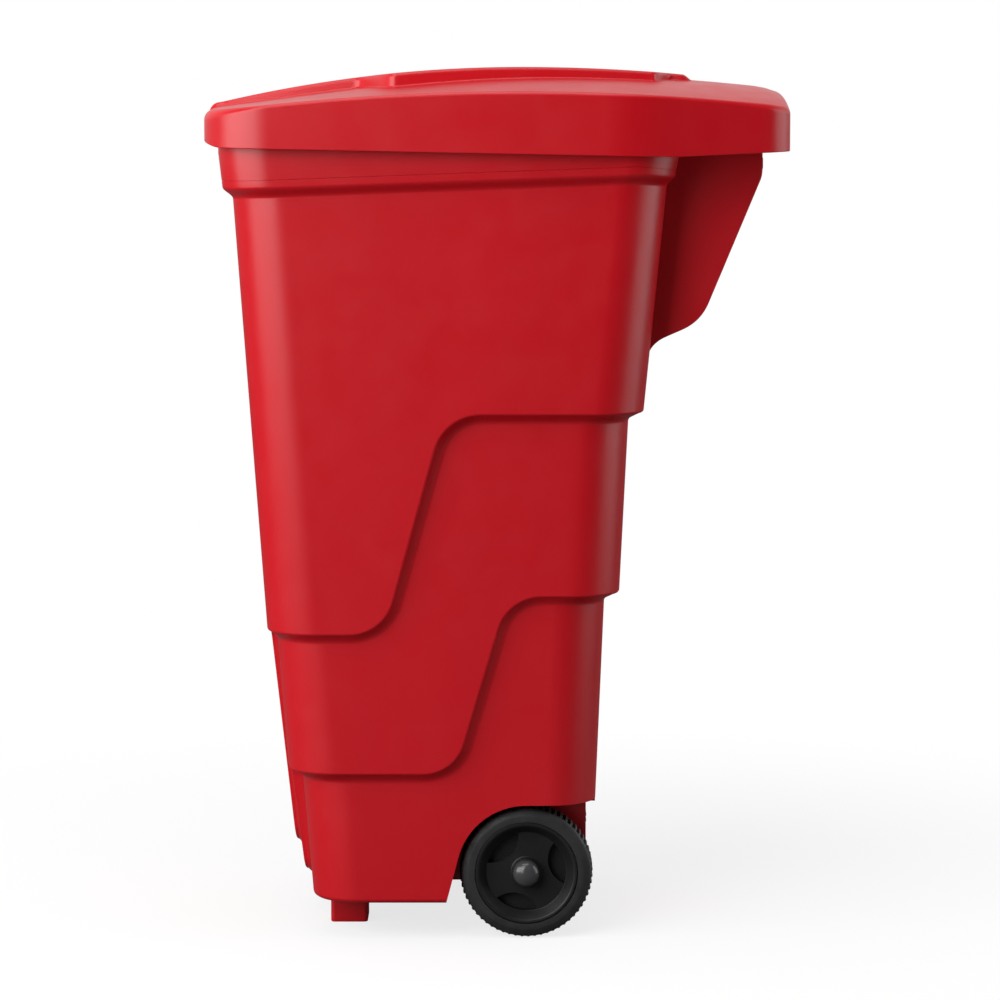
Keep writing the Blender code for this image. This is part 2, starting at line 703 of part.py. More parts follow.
def gusset_profile():
    """Return the (y, z) outline of a plate that carries the handle and runs out into the rear wall."""
    top = HANDLE_TOP_Z - HANDLE_SHELF_THICKNESS / 2
    rear = HANDLE_REAR_Y - FIT
    shoulder = (rear, HANDLE_TOP_Z - GUSSET_SHOULDER_DROP)
    toe = (HANDLE_REAR_Y - GUSSET_TOE_INSET, HANDLE_TOP_Z - GUSSET_TOE_DROP)
    root_z = HANDLE_TOP_Z - GUSSET_ROOT_DROP
    end_z = root_z - GUSSET_ROOT_ROUND
    root = (rear_y(TOP_TIER, root_z, OVERLAP), root_z)
    end = (rear_y(TOP_TIER, end_z, OVERLAP), end_z)
    seam = seam_z(0.0, BAND.rear)
    bead_root, bead_low, bead = seam - BEAD_ROOT_DROP, seam - BEAD_LOW_DROP, seam - BEAD_DROP
    outline = [(rear_y(BAND, top, OVERLAP), top), (rear, top)]
    outline += bend((rear, top), shoulder, toe, GUSSET_SHOULDER_ROUND)
    outline += bend(shoulder, toe, root, GUSSET_TOE_ROUND)
    outline += bend(toe, root, end, GUSSET_ROOT_ROUND)
    outline.append((rear_y(TOP_TIER, bead_root, OVERLAP), bead_root))
    outline.append((rear_y(TOP_TIER, bead_low, OVERLAP - BEAD_LOW_PROUD), bead_low))
    outline.append((rear_y(BAND, bead, OVERLAP), bead))
    return outline


def hinge_eye(y, z, foot_z, direction):
    """Return the (y, z) outline of a hinge eye with a straight leg to a height above or below it."""
    outline = []
    for index in range(EYE_STEPS + 1):
        turn = math.pi * index / EYE_STEPS * -direction
        outline.append((y + HINGE_EYE_RADIUS * math.cos(turn), z + HINGE_EYE_RADIUS * math.sin(turn)))
    outline += [(y - HINGE_EYE_RADIUS, foot_z), (y + HINGE_EYE_RADIUS, foot_z)]
    return outline


def hinge_bores(label, radius, along):
    """Return helper rods along the hinge axis, one for each side."""
    rods = []
    for side in (-1, 1):
        middle = side * HINGE_X
        rod = prism(disc(radius, HINGE_Y, HINGE_Z), middle - along / 2, middle + along / 2)
        rods.append(make_cutter(f"{label}_{'right' if side > 0 else 'left'}", *rod))
    return rods


def make_handle():
    """Return a helper solid of the handle: a shelf with a rail along its rear, on two gussets."""
    shelf_front = rear_y(BAND, HANDLE_TOP_Z, OVERLAP)
    shelf_low = HANDLE_TOP_Z - HANDLE_SHELF_THICKNESS
    lip_low = HANDLE_TOP_Z - HANDLE_LIP_HEIGHT
    lip_front = HANDLE_REAR_Y - HANDLE_LIP_THICKNESS
    profile = [(shelf_front, HANDLE_TOP_Z), (HANDLE_REAR_Y, HANDLE_TOP_Z)]
    lip_half = HANDLE_LIP_THICKNESS / 2
    for index in range(LIP_STEPS + 1):
        turn = -math.pi * index / LIP_STEPS
        profile.append((lip_front + lip_half + lip_half * math.cos(turn),
                        lip_low + lip_half + lip_half * math.sin(turn)))
    profile += [(lip_front, shelf_low), (shelf_front, shelf_low)]
    reach = GUSSET_X + FIT
    handle = make_cutter("handle", *prism(profile, -reach, reach))
    gusset = gusset_profile()
    for side in (-1, 1):
        ends = sorted((side * GUSSET_X, side * (GUSSET_X - GUSSET_THICKNESS)))
        combine(handle, make_cutter(f"gusset_{side}", *prism(gusset, *ends)), "UNION")
    return handle


def body_additions():
    """Return every helper solid that is moulded onto the body."""
    pieces = [make_handle()]
    ear = hinge_eye(HINGE_Y, HINGE_Z, HANDLE_TOP_Z - OVERLAP, -1)
    gap = HINGE_KNUCKLE_WIDTH / 2 + FIT
    for side in (-1, 1):
        for ear_start in (HINGE_X - gap - HINGE_EAR_WIDTH, HINGE_X + gap):
            ends = sorted((side * ear_start, side * (ear_start + HINGE_EAR_WIDTH)))
            pieces.append(make_cutter(f"ear_{side}", *prism(ear, *ends)))
        ends = sorted((side * AXLE_BOSS_INNER_X, side * boss_face_x()))
        pieces.append(make_cutter(f"boss_{side}", *prism(disc(AXLE_BOSS_RADIUS, AXLE_Y, AXLE_Z), *ends)))
        ends = sorted((side * AXLE_RIB_X, side * (AXLE_RIB_X + BODY_WALL)))
        low = (ends[0], WELL_FRONT_Y + OVERLAP, TUNNEL_UNDERSIDE_Z + OVERLAP)
        rear = rear_y(BASE_TIER, UNDERCUT_TOP_Z, UNDERCUT_DEPTH) - OVERLAP
        high = (ends[1], rear, TUNNEL_ROOF_Z + OVERLAP)
        pieces.append(make_cutter(f"rib_{side}", *box(low, high)))
        low = (side * FOOT_X - FOOT_WIDTH / 2, FOOT_Y - FOOT_LENGTH / 2, 0.0)
        high = (side * FOOT_X + FOOT_WIDTH / 2, FOOT_Y + FOOT_LENGTH / 2, BODY_UNDERSIDE_Z + OVERLAP)
        pieces.append(make_cutter(f"foot_{side}", *box(low, high)))
    return pieces


def boss_face_x():
    """Return how far out the axle boss stands, which leaves room for the washer."""
    return WHEEL_INNER_X - WASHER_THICKNESS - 2 * FIT


def make_body(material):
    """Build the moulded body with its wells, handle, hinge ears, axle bosses and feet."""
    body = make_object("body", *body_outside(), material)
    for helper in under_cutters("outer", 0.0):
        combine(body, helper, "DIFFERENCE")
    inside = make_cutter("body_inside", *body_inside())
    for helper in under_cutters("inner", BODY_WALL):
        combine(inside, helper, "DIFFERENCE")
    combine(body, inside, "DIFFERENCE")
    half = WELL_INNER_X - BODY_WALL
    rear = rear_y(BASE_TIER, UNDERCUT_TOP_Z, UNDERCUT_DEPTH) - BODY_WALL
    tunnel = box((-half, WELL_FRONT_Y + BODY_WALL, -REACH), (half, rear, TUNNEL_ROOF_Z))
    combine(body, make_cutter("axle_tunnel", *tunnel), "DIFFERENCE")
    for helper in body_additions():
        combine(body, helper, "UNION")
    bore = prism(disc(AXLE_RADIUS + FIT, AXLE_Y, AXLE_Z), -boss_face_x() - OVERLAP, boss_face_x() + OVERLAP)
    combine(body, make_cutter("axle_bore", *bore), "DIFFERENCE")
    along = HINGE_KNUCKLE_WIDTH + 2 * (HINGE_EAR_WIDTH + FIT + OVERLAP)
    for helper in hinge_bores("ear_bore", HINGE_PIN_RADIUS + FIT, along):
        combine(body, helper, "DIFFERENCE")
    shade(body)
    return body


def make_lid(material):
    """Build the lid: a crowned shell with a raised deck, a handle notch and two hinge knuckles."""
    lid = make_object("lid", *lid_shell(), material)
    notch = box((-NOTCH_HALF, HALF_LENGTH - LID_REAR_CORNER, 0.0), (NOTCH_HALF, REACH, NOTCH_TOP_Z))
    combine(lid, make_cutter("lid_notch", *notch), "DIFFERENCE")
    for side in (-1, 1):
        middle = side * HINGE_X
        root = lid_top_z(HINGE_X + HINGE_KNUCKLE_WIDTH / 2, HINGE_Y + HINGE_EYE_RADIUS) - LID_WALL / 2
        eye = hinge_eye(HINGE_Y, HINGE_Z, root, 1)
        knuckle = prism(eye, middle - HINGE_KNUCKLE_WIDTH / 2, middle + HINGE_KNUCKLE_WIDTH / 2)
        combine(lid, make_cutter(f"knuckle_{side}", *knuckle), "UNION")
    for helper in hinge_bores("knuckle_bore", HINGE_PIN_RADIUS + FIT, HINGE_KNUCKLE_WIDTH + 2 * OVERLAP):
        combine(lid, helper, "DIFFERENCE")
    set_origin(lid, (0.0, HINGE_Y, HINGE_Z))
    shade(lid)
    return lid


def make_hinge_pin(name, side, material):
    """Build a hinge pin with a flat head at its outer end."""
    ear_out = HINGE_KNUCKLE_WIDTH / 2 + FIT + HINGE_EAR_WIDTH
    tail = -ear_out
    seat = ear_out + FIT
    head = seat + HINGE_PIN_HEAD_THICKNESS
    profile = [(tail, HINGE_PIN_RADIUS), (seat, HINGE_PIN_RADIUS)]
    profile += [(seat, HINGE_PIN_HEAD), (head, HINGE_PIN_HEAD)]
    placed = [(side * (HINGE_X + x), radius) for x, radius in profile]
    pin = make_object(name, *capped(placed, HINGE_Y, HINGE_Z), material)
    set_origin(pin, (side * HINGE_X, HINGE_Y, HINGE_Z))
    shade(pin)


def make_axle(material):
    """Build the plain steel axle that runs through both wheels."""
    end = WHEEL_OUTER_X + CAP_HEIGHT / 2
    profile = [(-end, AXLE_RADIUS), (end, AXLE_RADIUS)]
    axle = make_object("axle", *capped(profile, AXLE_Y, AXLE_Z), material)
    set_origin(axle, (0.0, AXLE_Y, AXLE_Z))
    shade(axle)


def lug_profile(base, top):
    """Return the corners of one tread lug, as shares of the pitch and radii."""
    crest_end = LUG_RAMP_SHARE + LUG_CREST_SHARE
    return ((0.0, base), (LUG_RAMP_SHARE, top), (crest_end, top), (crest_end + LUG_RAMP_SHARE, base))


def tread_ring(x, base, top):
    """Return a ring of tread lugs at a place across the tyre, four points to a lug."""
    pitch = 2 * math.pi / TREAD_LUGS
    ring = []
    for lug in range(TREAD_LUGS):
        for share, radius in lug_profile(base, top):
            turn = (lug + share) * pitch
            ring.append((x, AXLE_Y + radius * math.cos(turn), AXLE_Z + radius * math.sin(turn)))
    return ring


def plain_ring(x, radius):
    """Return a ring with one point to a lug."""
    pitch = 2 * math.pi / TREAD_LUGS
    middle = LUG_RAMP_SHARE + LUG_CREST_SHARE / 2
    turns = [pitch * (lug + middle) for lug in range(TREAD_LUGS)]
    return [(x, AXLE_Y + radius * math.cos(turn), AXLE_Z + radius * math.sin(turn)) for turn in turns]


def make_tyre(name, side, material):
    """Build a solid rubber tyre with cross lugs that fall away at the shoulders."""
    inner, outer = WHEEL_INNER_X, WHEEL_OUTER_X
    base = WHEEL_RADIUS - TREAD_DEPTH
    rings = [
        plain_ring(inner, TYRE_BORE),
        plain_ring(inner, TYRE_SHOULDER),
        tread_ring(inner + SHOULDER_DROP, base, WHEEL_RADIUS),
        tread_ring(outer - SHOULDER_DROP, base, WHEEL_RADIUS),
        plain_ring(outer, TYRE_SHOULDER),
        plain_ring(outer, TYRE_BORE),
    ]
    starts = []
    vertices = []
    for ring in rings:
        starts.append(len(vertices))
        vertices += [(side * x, y, z) for x, y, z in ring]
    faces = []
    for first, second in ((0, 1), (4, 5), (5, 0)):
        for index in range(TREAD_LUGS):
            after = (index + 1) % TREAD_LUGS
            faces.append((starts[first] + index, starts[first] + after,
                          starts[second] + after, starts[second] + index))
    for index in range(4 * TREAD_LUGS):
        after = (index + 1) % (4 * TREAD_LUGS)
        faces.append((starts[2] + index, starts[2] + after, starts[3] + after, starts[3] + index))
    for plain, tread in ((1, 2), (4, 3)):
        for lug in range(TREAD_LUGS):
            centre = starts[plain] + lug
            following = starts[plain] + (lug + 1) % TREAD_LUGS
            first = starts[tread] + 4 * lug
            faces += [(centre, first + step, first + step + 1) for step in range(3)]
            after = starts[tread] + (4 * lug + 4) % (4 * TREAD_LUGS)
            faces.append((centre, first + 3, after, following))
    tyre = make_object(name, vertices, faces, material)
    set_origin(tyre, (side * (inner + outer) / 2, AXLE_Y, AXLE_Z))
    shade(tyre)


def lens_profile(angle):
    """Return the (y, z) outline of a lens-shaped pocket round the hub."""
    half_length, half_width = POCKET_LENGTH / 2, POCKET_WIDTH / 2
    radius = (half_length ** 2 + half_width ** 2) / (2 * half_width)
    reach = math.asin(half_length / radius)
    outline = []
    for flip in (1, -1):
        for index in range(LENS_STEPS):
            turn = reach * (2 * index / LENS_STEPS - 1)
            along = radius * math.sin(turn) * flip
            out = (radius * math.cos(turn) - radius + half_width) * flip + POCKET_RADIUS
            outline.append((AXLE_Y + out * math.cos(angle) - along * math.sin(angle),
                            AXLE_Z + out * math.sin(angle) + along * math.cos(angle)))
    return outline


def make_hub(name, side, material):
    """Build a dished wheel hub with three lens-shaped pockets and a bored boss."""
    inner, outer = WHEEL_INNER_X, WHEEL_OUTER_X
    dish_in, dish_out = inner + HUB_DISH_DEPTH, outer - HUB_DISH_DEPTH
    rim = HUB_RADIUS - HUB_RIM_WIDTH
    bore = AXLE_RADIUS + FIT
    profile = [
        (outer, bore), (outer, HUB_BOSS_RADIUS), (dish_out, HUB_BOSS_RADIUS), (dish_out, rim),
        (outer, rim + HUB_RIM_WIDTH / 3), (outer, HUB_RADIUS), (inner, HUB_RADIUS),
        (inner, rim + HUB_RIM_WIDTH / 3), (dish_in, rim), (dish_in, HUB_BOSS_RADIUS),
        (inner, HUB_BOSS_RADIUS), (inner, bore),
    ]
    placed = [(side * x, radius) for x, radius in profile]
    hub = make_object(name, *turned(placed, AXLE_Y, AXLE_Z, HUB_SIDES), material)
    for index in range(3):
        outline = lens_profile(POCKET_FIRST_ANGLE + 2 * math.pi * index / 3)
        ends = sorted((side * (dish_in + HUB_WEB), side * (outer + OVERLAP)))
        combine(hub, make_cutter(f"{name}_pocket_{index}", *prism(outline, *ends)), "DIFFERENCE")
    set_origin(hub, (side * (inner + outer) / 2, AXLE_Y, AXLE_Z))
    shade(hub)


def make_washer(name, side, material):
    """Build the flat washer between an axle boss and a hub."""
    start = boss_face_x() + FIT
    end = start + WASHER_THICKNESS
    bore = AXLE_RADIUS + FIT
    profile = [(start, bore), (start, WASHER_RADIUS), (end, WASHER_RADIUS), (end, bore)]
    washer = make_object(name, *turned([(side * x, r) for x, r in profile], AXLE_Y, AXLE_Z), material)
    set_origin(washer, (side * start, AXLE_Y, AXLE_Z))
    shade(washer)


def make_cap(name, side, material):
    """Build the domed push-on cap that keeps a wheel on the axle."""
    seat = WHEEL_OUTER_X + FIT
    bore = AXLE_RADIUS + FIT
    bore_end = WHEEL_OUTER_X + CAP_HEIGHT / 2 + FIT
    brim = seat + CAP_WALL
    profile = [(bore_end, CAP_TIP_RADIUS), (bore_end, bore), (seat, bore)]
    profile += [(seat, CAP_RADIUS), (brim, CAP_RADIUS)]
    for index in range(1, DOME_STEPS):
        turn = math.pi / 2 * index / DOME_STEPS
        profile.append((brim + (CAP_HEIGHT - CAP_WALL) * math.sin(turn), CAP_RADIUS * math.cos(turn)))
    profile.append((seat + CAP_HEIGHT, CAP_TIP_RADIUS))
    cap = make_object(name, *capped([(side * x, r) for x, r in profile], AXLE_Y, AXLE_Z, CAP_SIDES), material)
    set_origin(cap, (side * seat, AXLE_Y, AXLE_Z))
    shade(cap)


def main():
    """Build every piece of the bin."""
    clear_scene()
    red = make_material("red_moulded_plastic", (0.46, 0.008, 0.014), 0.42)
    rubber = make_material("black_tyre_rubber", (0.012, 0.012, 0.013), 0.7)
    black = make_material("black_hub_plastic", (0.015, 0.015, 0.016), 0.5)
    grey = make_material("grey_cap_plastic", (0.07, 0.07, 0.075), 0.3)
    steel = make_material("axle_steel", (0.55, 0.55, 0.56), 0.35, 1.0)
    make_body(red)
    make_lid(red)
    make_axle(steel)
    for label, side in (("left", -1), ("right", 1)):
        make_hinge_pin(f"hinge_pin_{label}", side, black)
        make_tyre(f"tyre_{label}", side, rubber)
        make_hub(f"wheel_hub_{label}", side, black)
        make_washer(f"axle_washer_{label}", side, steel)
        make_cap(f"axle_cap_{label}", side, grey)


main()
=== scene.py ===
"""Looks of a red two-wheeled waste bin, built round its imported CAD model.

Metres, +Z up, in the CAD model's own frame. The front of the bin faces -Y, the
handle, the hinge and the wheels are at +Y, and X runs along the axle.
"""

import logging
import math
from dataclasses import dataclass, field
from enum import Enum
from typing import Callable, Iterable, Sequence

import bmesh
import bpy
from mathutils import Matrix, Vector


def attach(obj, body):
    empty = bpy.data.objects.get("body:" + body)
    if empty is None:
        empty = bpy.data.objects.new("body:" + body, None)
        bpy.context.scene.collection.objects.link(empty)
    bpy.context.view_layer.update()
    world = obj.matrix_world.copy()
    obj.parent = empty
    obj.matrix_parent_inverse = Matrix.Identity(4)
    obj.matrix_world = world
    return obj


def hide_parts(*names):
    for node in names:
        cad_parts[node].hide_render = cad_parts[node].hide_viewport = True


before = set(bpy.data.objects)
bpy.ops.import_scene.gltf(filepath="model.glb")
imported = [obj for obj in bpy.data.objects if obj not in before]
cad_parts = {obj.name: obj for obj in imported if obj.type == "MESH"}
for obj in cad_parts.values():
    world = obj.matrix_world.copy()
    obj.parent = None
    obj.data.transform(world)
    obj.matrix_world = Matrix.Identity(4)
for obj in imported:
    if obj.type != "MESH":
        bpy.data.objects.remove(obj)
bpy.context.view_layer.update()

LOG = logging.getLogger("waste_bin")

Point = tuple[float, float, float]
Ring = list[Point]
Flat = tuple[float, float]
Colour = tuple[float, float, float]
HeightRule = Callable[[float, float], float]
Socket = bpy.types.NodeSocket
Inputs = dict[str | int, object]

# Most of a noise texture's values lie in this span.
NOISE_SPAN: Flat = (0.3, 0.7)
# Pointiness where an outer edge starts and where it is full.
EDGE_SPAN: Flat = (0.53, 0.62)
# Edges that turn more than this, in degrees, stay sharp; the second is for turned pieces.
SHARP_ANGLE = 32.0
TURNED_SHARP_ANGLE = 40.0
# The least cosine of half a corner's turn, so that sharp corners aren't drawn far in.
LEAST_MITRE = 0.45
# Steps of a rounded edge and of a bend in an outline.
EDGE_STEPS = 4
BEND_STEPS = 12


class Side(Enum):
    """The two sides of the bin, as signs along X."""

    LEFT = -1
    RIGHT = 1

    @property
    def word(self) -> str:
        """Return the side's name as it stands in node names."""
        return self.name.lower()


class Join(Enum):
    """How one solid is combined with another."""

    CUT = "DIFFERENCE"
    ADD = "UNION"


# Finishes

@dataclass(frozen=True)
class Noise:
    """A noise pattern: blotches to a metre, finer layers, and its squeeze along X, Y and Z."""

    scale: float
    detail: float
    stretch: Point = (1.0, 1.0, 1.0)


class NodeSheet:
    """The node tree of a material or of the world, with short calls for its nodes."""

    def __init__(self, owner: bpy.types.Material | bpy.types.World) -> None:
        """Open the tree of a material or of the world."""
        owner.use_nodes = True
        self.tree = owner.node_tree

    def feed(self, node: bpy.types.Node, inputs: Inputs) -> None:
        """Set a node's inputs.

        Args:
            node: The node.
            inputs: For each input a plain value, or the socket that feeds it.
        """
        for name, value in inputs.items():
            if isinstance(value, bpy.types.NodeSocket):
                self.tree.links.new(value, node.inputs[name])
            else:
                node.inputs[name].default_value = value

    def add(self, kind: str, inputs: Inputs, **settings: str) -> bpy.types.Node:
        """Add a node.

        Args:
            kind: The node's type, without the prefix that all of them share.
            inputs: For each input a plain value, or the socket that feeds it.
            settings: The node's own settings.

        Returns:
            The new node.
        """
        node = self.tree.nodes.new(f"ShaderNode{kind}")
        for name, value in settings.items():
            setattr(node, name, value)
        self.feed(node, inputs)
        return node

    def span(self, value: Socket, before: Flat, after: Flat = (0.0, 1.0),
             **settings: str) -> Socket:
        """Return a value moved from one span onto another.

        Args:
            value: The socket with the value.
            before: The span that it comes from.
            after: The span that it is laid on.
            settings: The node's own settings.

        Returns:
            The socket with the moved value.
        """
        inputs = {"Value": value, "From Min": before[0], "From Max": before[1],
                  "To Min": after[0], "To Max": after[1]}
        return self.add("MapRange", inputs, **settings).outputs["Result"]


class FinishSheet(NodeSheet):
    """A new material's node tree round its Principled shader."""

    def __init__(self, name: str) -> None:
        """Start a material.

        Args:
            name: The material's name.
        """
        self.material = bpy.data.materials.new(name)
        super().__init__(self.material)
        self.shader = self.tree.nodes["Principled BSDF"]
        self.place = self.add("TexCoord", {}).outputs["Object"]

    def noise(self, pattern: Noise) -> Socket:
        """Return a noise value laid in the object's own metres.

        Args:
            pattern: The noise pattern.

        Returns:
            The socket with the noise value.
        """
        mapping = self.add("Mapping", {"Vector": self.place, "Scale": pattern.stretch})
        inputs = {"Vector": mapping.outputs["Vector"], "Scale": pattern.scale,
                  "Detail": pattern.detail}
        return self.add("TexNoise", inputs).outputs["Fac"]

    def ramp(self, value: Socket, span: Flat, first: Colour, last: Colour) -> Socket:
        """Return a colour that runs from one to another as a value climbs.

        Args:
            value: The socket that drives the ramp.
            span: Where the ramp starts and ends.
            first: Colour at the start.
            last: Colour at the end.

        Returns:
            The socket with the colour.
        """
        ramp = self.add("ValToRGB", {"Fac": value})
        for index, colour in enumerate((first, last)):
            ramp.color_ramp.elements[index].position = span[index]
            ramp.color_ramp.elements[index].color = (*colour, 1.0)
        return ramp.outputs["Color"]

    def spread(self, pattern: Noise, limits: Flat) -> Socket:
        """Return a noise pattern laid out between two limits."""
        return self.span(self.noise(pattern), NOISE_SPAN, limits)

    def blend(self, share: Socket, first: Socket, second: Colour) -> Socket:
        """Return a colour mixed with a plain second colour by a share."""
        inputs = {"Factor": share, "A": first, "B": (*second, 1.0)}
        return self.add("Mix", inputs, data_type="RGBA").outputs["Result"]

    def bump(self, height: Socket, depth: float, strength: float,
             under: Socket | None = None) -> Socket:
        """Return a normal bent by a height, over another normal where one is given.

        Args:
            height: The socket with the height.
            depth: How deep the relief is, in metres.
            strength: How much of it shows.
            under: A normal that this one lies on.

        Returns:
            The socket with the normal.
        """
        inputs = {"Strength": strength, "Distance": depth, "Height": height}
        if under is not None:
            inputs["Normal"] = under
        return self.add("Bump", inputs).outputs["Normal"]

    def edges(self) -> Socket:
        """Return a value that is high on outer edges, for worn plastic."""
        return self.span(self.add("NewGeometry", {}).outputs["Pointiness"], EDGE_SPAN)


@dataclass(frozen=True)
class MouldedPlastic:
    """A satin moulded plastic with a fine spark-eroded grain and faint flow marks."""

    name: str
    colour: Colour
    deep: Colour
    worn: Colour
    roughness: Flat
    grain: Noise = Noise(900.0, 2.0)
    grain_depth: float = 0.00005
    grain_strength: float = 0.14
    wear: float = 0.25
    specular: float = 0.5
    flow: Noise = Noise(5.0, 2.0, (1.0, 1.0, 0.35))
    scuffs: Noise = Noise(60.0, 6.0, (1.0, 1.0, 0.3))
    sheen: Noise = Noise(34.0, 4.0)
    ripple: Noise = Noise(11.0, 1.0)
    ripple_depth: float = 0.0006
    ripple_strength: float = 0.25

    def material(self) -> bpy.types.Material:
        """Return the finish as a material.

        Returns:
            The new material.
        """
        sheet = FinishSheet(self.name)
        colour = sheet.ramp(sheet.noise(self.flow), NOISE_SPAN, self.deep, self.colour)
        scuffs = sheet.spread(self.scuffs, (0.0, self.wear))
        edge = sheet.add("Math", {0: sheet.edges(), 1: scuffs}, operation="MULTIPLY")
        ripple = sheet.bump(sheet.noise(self.ripple), self.ripple_depth, self.ripple_strength)
        grain = sheet.noise(self.grain)
        sheet.feed(sheet.shader, {
            "Base Color": sheet.blend(edge.outputs["Value"], colour, self.worn),
            "Roughness": sheet.spread(self.sheen, self.roughness),
            "Specular IOR Level": self.specular,
            "Normal": sheet.bump(grain, self.grain_depth, self.grain_strength, ripple),
        })
        return sheet.material


@dataclass(frozen=True)
class TyreRubber:
    """A matt black rubber with a dusty bloom."""

    name: str
    colour: Colour
    dust: Colour
    roughness: Flat
    bloom: Noise = Noise(45.0, 5.0)
    bloom_span: Flat = (0.35, 0.75)
    sheen: Noise = Noise(120.0, 3.0)
    grain: Noise = Noise(900.0, 3.0)
    grain_depth: float = 0.00008
    grain_strength: float = 0.5

    def material(self) -> bpy.types.Material:
        """Return the finish as a material.

        Returns:
            The new material.
        """
        sheet = FinishSheet(self.name)
        bloom, grain = sheet.noise(self.bloom), sheet.noise(self.grain)
        sheet.feed(sheet.shader, {
            "Base Color": sheet.ramp(bloom, self.bloom_span, self.colour, self.dust),
            "Roughness": sheet.spread(self.sheen, self.roughness),
            "Normal": sheet.bump(grain, self.grain_depth, self.grain_strength),
        })
        return sheet.material


@dataclass(frozen=True)
class PlatedSteel:
    """Bright zinc-plated steel, drawn along X."""

    name: str
    colour: Colour
    dull: Colour
    roughness: Flat
    stains: Noise = Noise(90.0, 4.0)
    lines: Noise = Noise(700.0, 2.0, (0.05, 1.0, 1.0))
    line_depth: float = 0.00003
    line_strength: float = 0.3

    def material(self) -> bpy.types.Material:
        """Return the finish as a material.

        Returns:
            The new material.
        """
        sheet = FinishSheet(self.name)
        stains, lines = sheet.noise(self.stains), sheet.noise(self.lines)
        sheet.feed(sheet.shader, {
            "Metallic": 1.0,
            "Base Color": sheet.ramp(stains, NOISE_SPAN, self.dull, self.colour),
            "Roughness": sheet.span(lines, NOISE_SPAN, self.roughness),
            "Normal": sheet.bump(lines, self.line_depth, self.line_strength),
        })
        return sheet.material


RED_PLASTIC = MouldedPlastic(
    "red_moulded_plastic", colour=(0.52, 0.0018, 0.0085), deep=(0.48, 0.0014, 0.0070),
    worn=(0.60, 0.06, 0.06), roughness=(0.33, 0.39), specular=0.48)
BLACK_PLASTIC = MouldedPlastic(
    "black_hub_plastic", colour=(0.0100, 0.0100, 0.0105), deep=(0.0075, 0.0075, 0.0080),
    worn=(0.04, 0.04, 0.04), roughness=(0.38, 0.50), grain=Noise(2200.0, 2.0), specular=0.3)
GREY_PLASTIC = MouldedPlastic(
    "grey_cap_plastic", colour=(0.055, 0.055, 0.058), deep=(0.042, 0.042, 0.045),
    worn=(0.16, 0.16, 0.16), roughness=(0.16, 0.26), grain_strength=0.12)
RUBBER = TyreRubber(
    "tyre_rubber", colour=(0.009, 0.009, 0.0095), dust=(0.022, 0.021, 0.020),
    roughness=(0.50, 0.72))
STEEL = PlatedSteel(
    "plated_steel", colour=(0.62, 0.62, 0.63), dull=(0.42, 0.42, 0.44), roughness=(0.24, 0.42))


# Mesh tools

def grey(level: float) -> tuple[float, float, float, float]:
    """Return a grey as a colour socket takes it."""
    return level, level, level, 1.0


def smooth_rise(value: float) -> float:
    """Return a ramp from 0 to 1 with soft ends."""
    value = min(max(value, 0.0), 1.0)
    return value * value * (3.0 - 2.0 * value)


def quarter(steps: int) -> list[float]:
    """Return the angles of a quarter turn in even steps, with both ends."""
    return [math.pi / 2 * index / steps for index in range(steps + 1)]


def make_piece(name: str, vertices: Iterable[Point],
               faces: Iterable[Sequence[int]]) -> bpy.types.Object:
    """Return a mesh object with its faces turned outwards.

    Args:
        name: The object's name.
        vertices: Points in metres.
        faces: Point numbers of each face.

    Returns:
        The new object, linked to the scene.
    """
    shape = bmesh.new()
    corners = [shape.verts.new(point) for point in vertices]
    for face in faces:
        shape.faces.new([corners[index] for index in face])
    bmesh.ops.recalc_face_normals(shape, faces=shape.faces)
    mesh = bpy.data.meshes.new(name)
    shape.to_mesh(mesh)
    shape.free()
    item = bpy.data.objects.new(name, mesh)
    bpy.context.scene.collection.objects.link(item)
    return item


def ring_faces(count: int, levels: int, closed: bool = False) -> list[tuple[int, ...]]:
    """Return the faces between stacked rings.

    Args:
        count: Points in each ring.
        levels: How many rings there are.
        closed: Whether the last ring joins the first.

    Returns:
        Four point numbers for each face.
    """
    faces = []
    for level in range(levels if closed else levels - 1):
        low, high = level * count, (level + 1) % levels * count
        for index in range(count):
            after = (index + 1) % count
            faces.append((low + index, low + after, high + after, high + index))
    return faces


def stack(rings: Sequence[Ring], top: Point | None = None,
          bottom: Point | None = None) -> tuple[list, list]:
    """Return vertices and faces of stacked rings with closed ends.

    Args:
        rings: The rings, first to last.
        top: A point that closes the first ring; without it a flat face does.
        bottom: A point that closes the last ring; without it a flat face does.

    Returns:
        The vertices and the faces.
    """
    count = len(rings[0])
    vertices = [point for ring in rings for point in ring]
    faces = ring_faces(count, len(rings))
    last = len(vertices) - count
    for start, centre in ((0, top), (last, bottom)):
        if centre is None:
            faces.append(tuple(range(start, start + count)))
            continue
        hub = len(vertices)
        vertices.append(centre)
        faces += [(start + index, start + (index + 1) % count, hub) for index in range(count)]
    return vertices, faces


def prism(outline: Sequence[Flat], start: float, end: float) -> tuple[list, list]:
    """Return vertices and faces of a (y, z) outline drawn out along X."""
    return stack([[(x, y, z) for y, z in outline] for x in (start, end)])


def box(low: Point, high: Point) -> tuple[list, list]:
    """Return vertices and faces of a box between two corners."""
    outline = [(low[1], low[2]), (high[1], low[2]), (high[1], high[2]), (low[1], high[2])]
    return prism(outline, low[0], high[0])


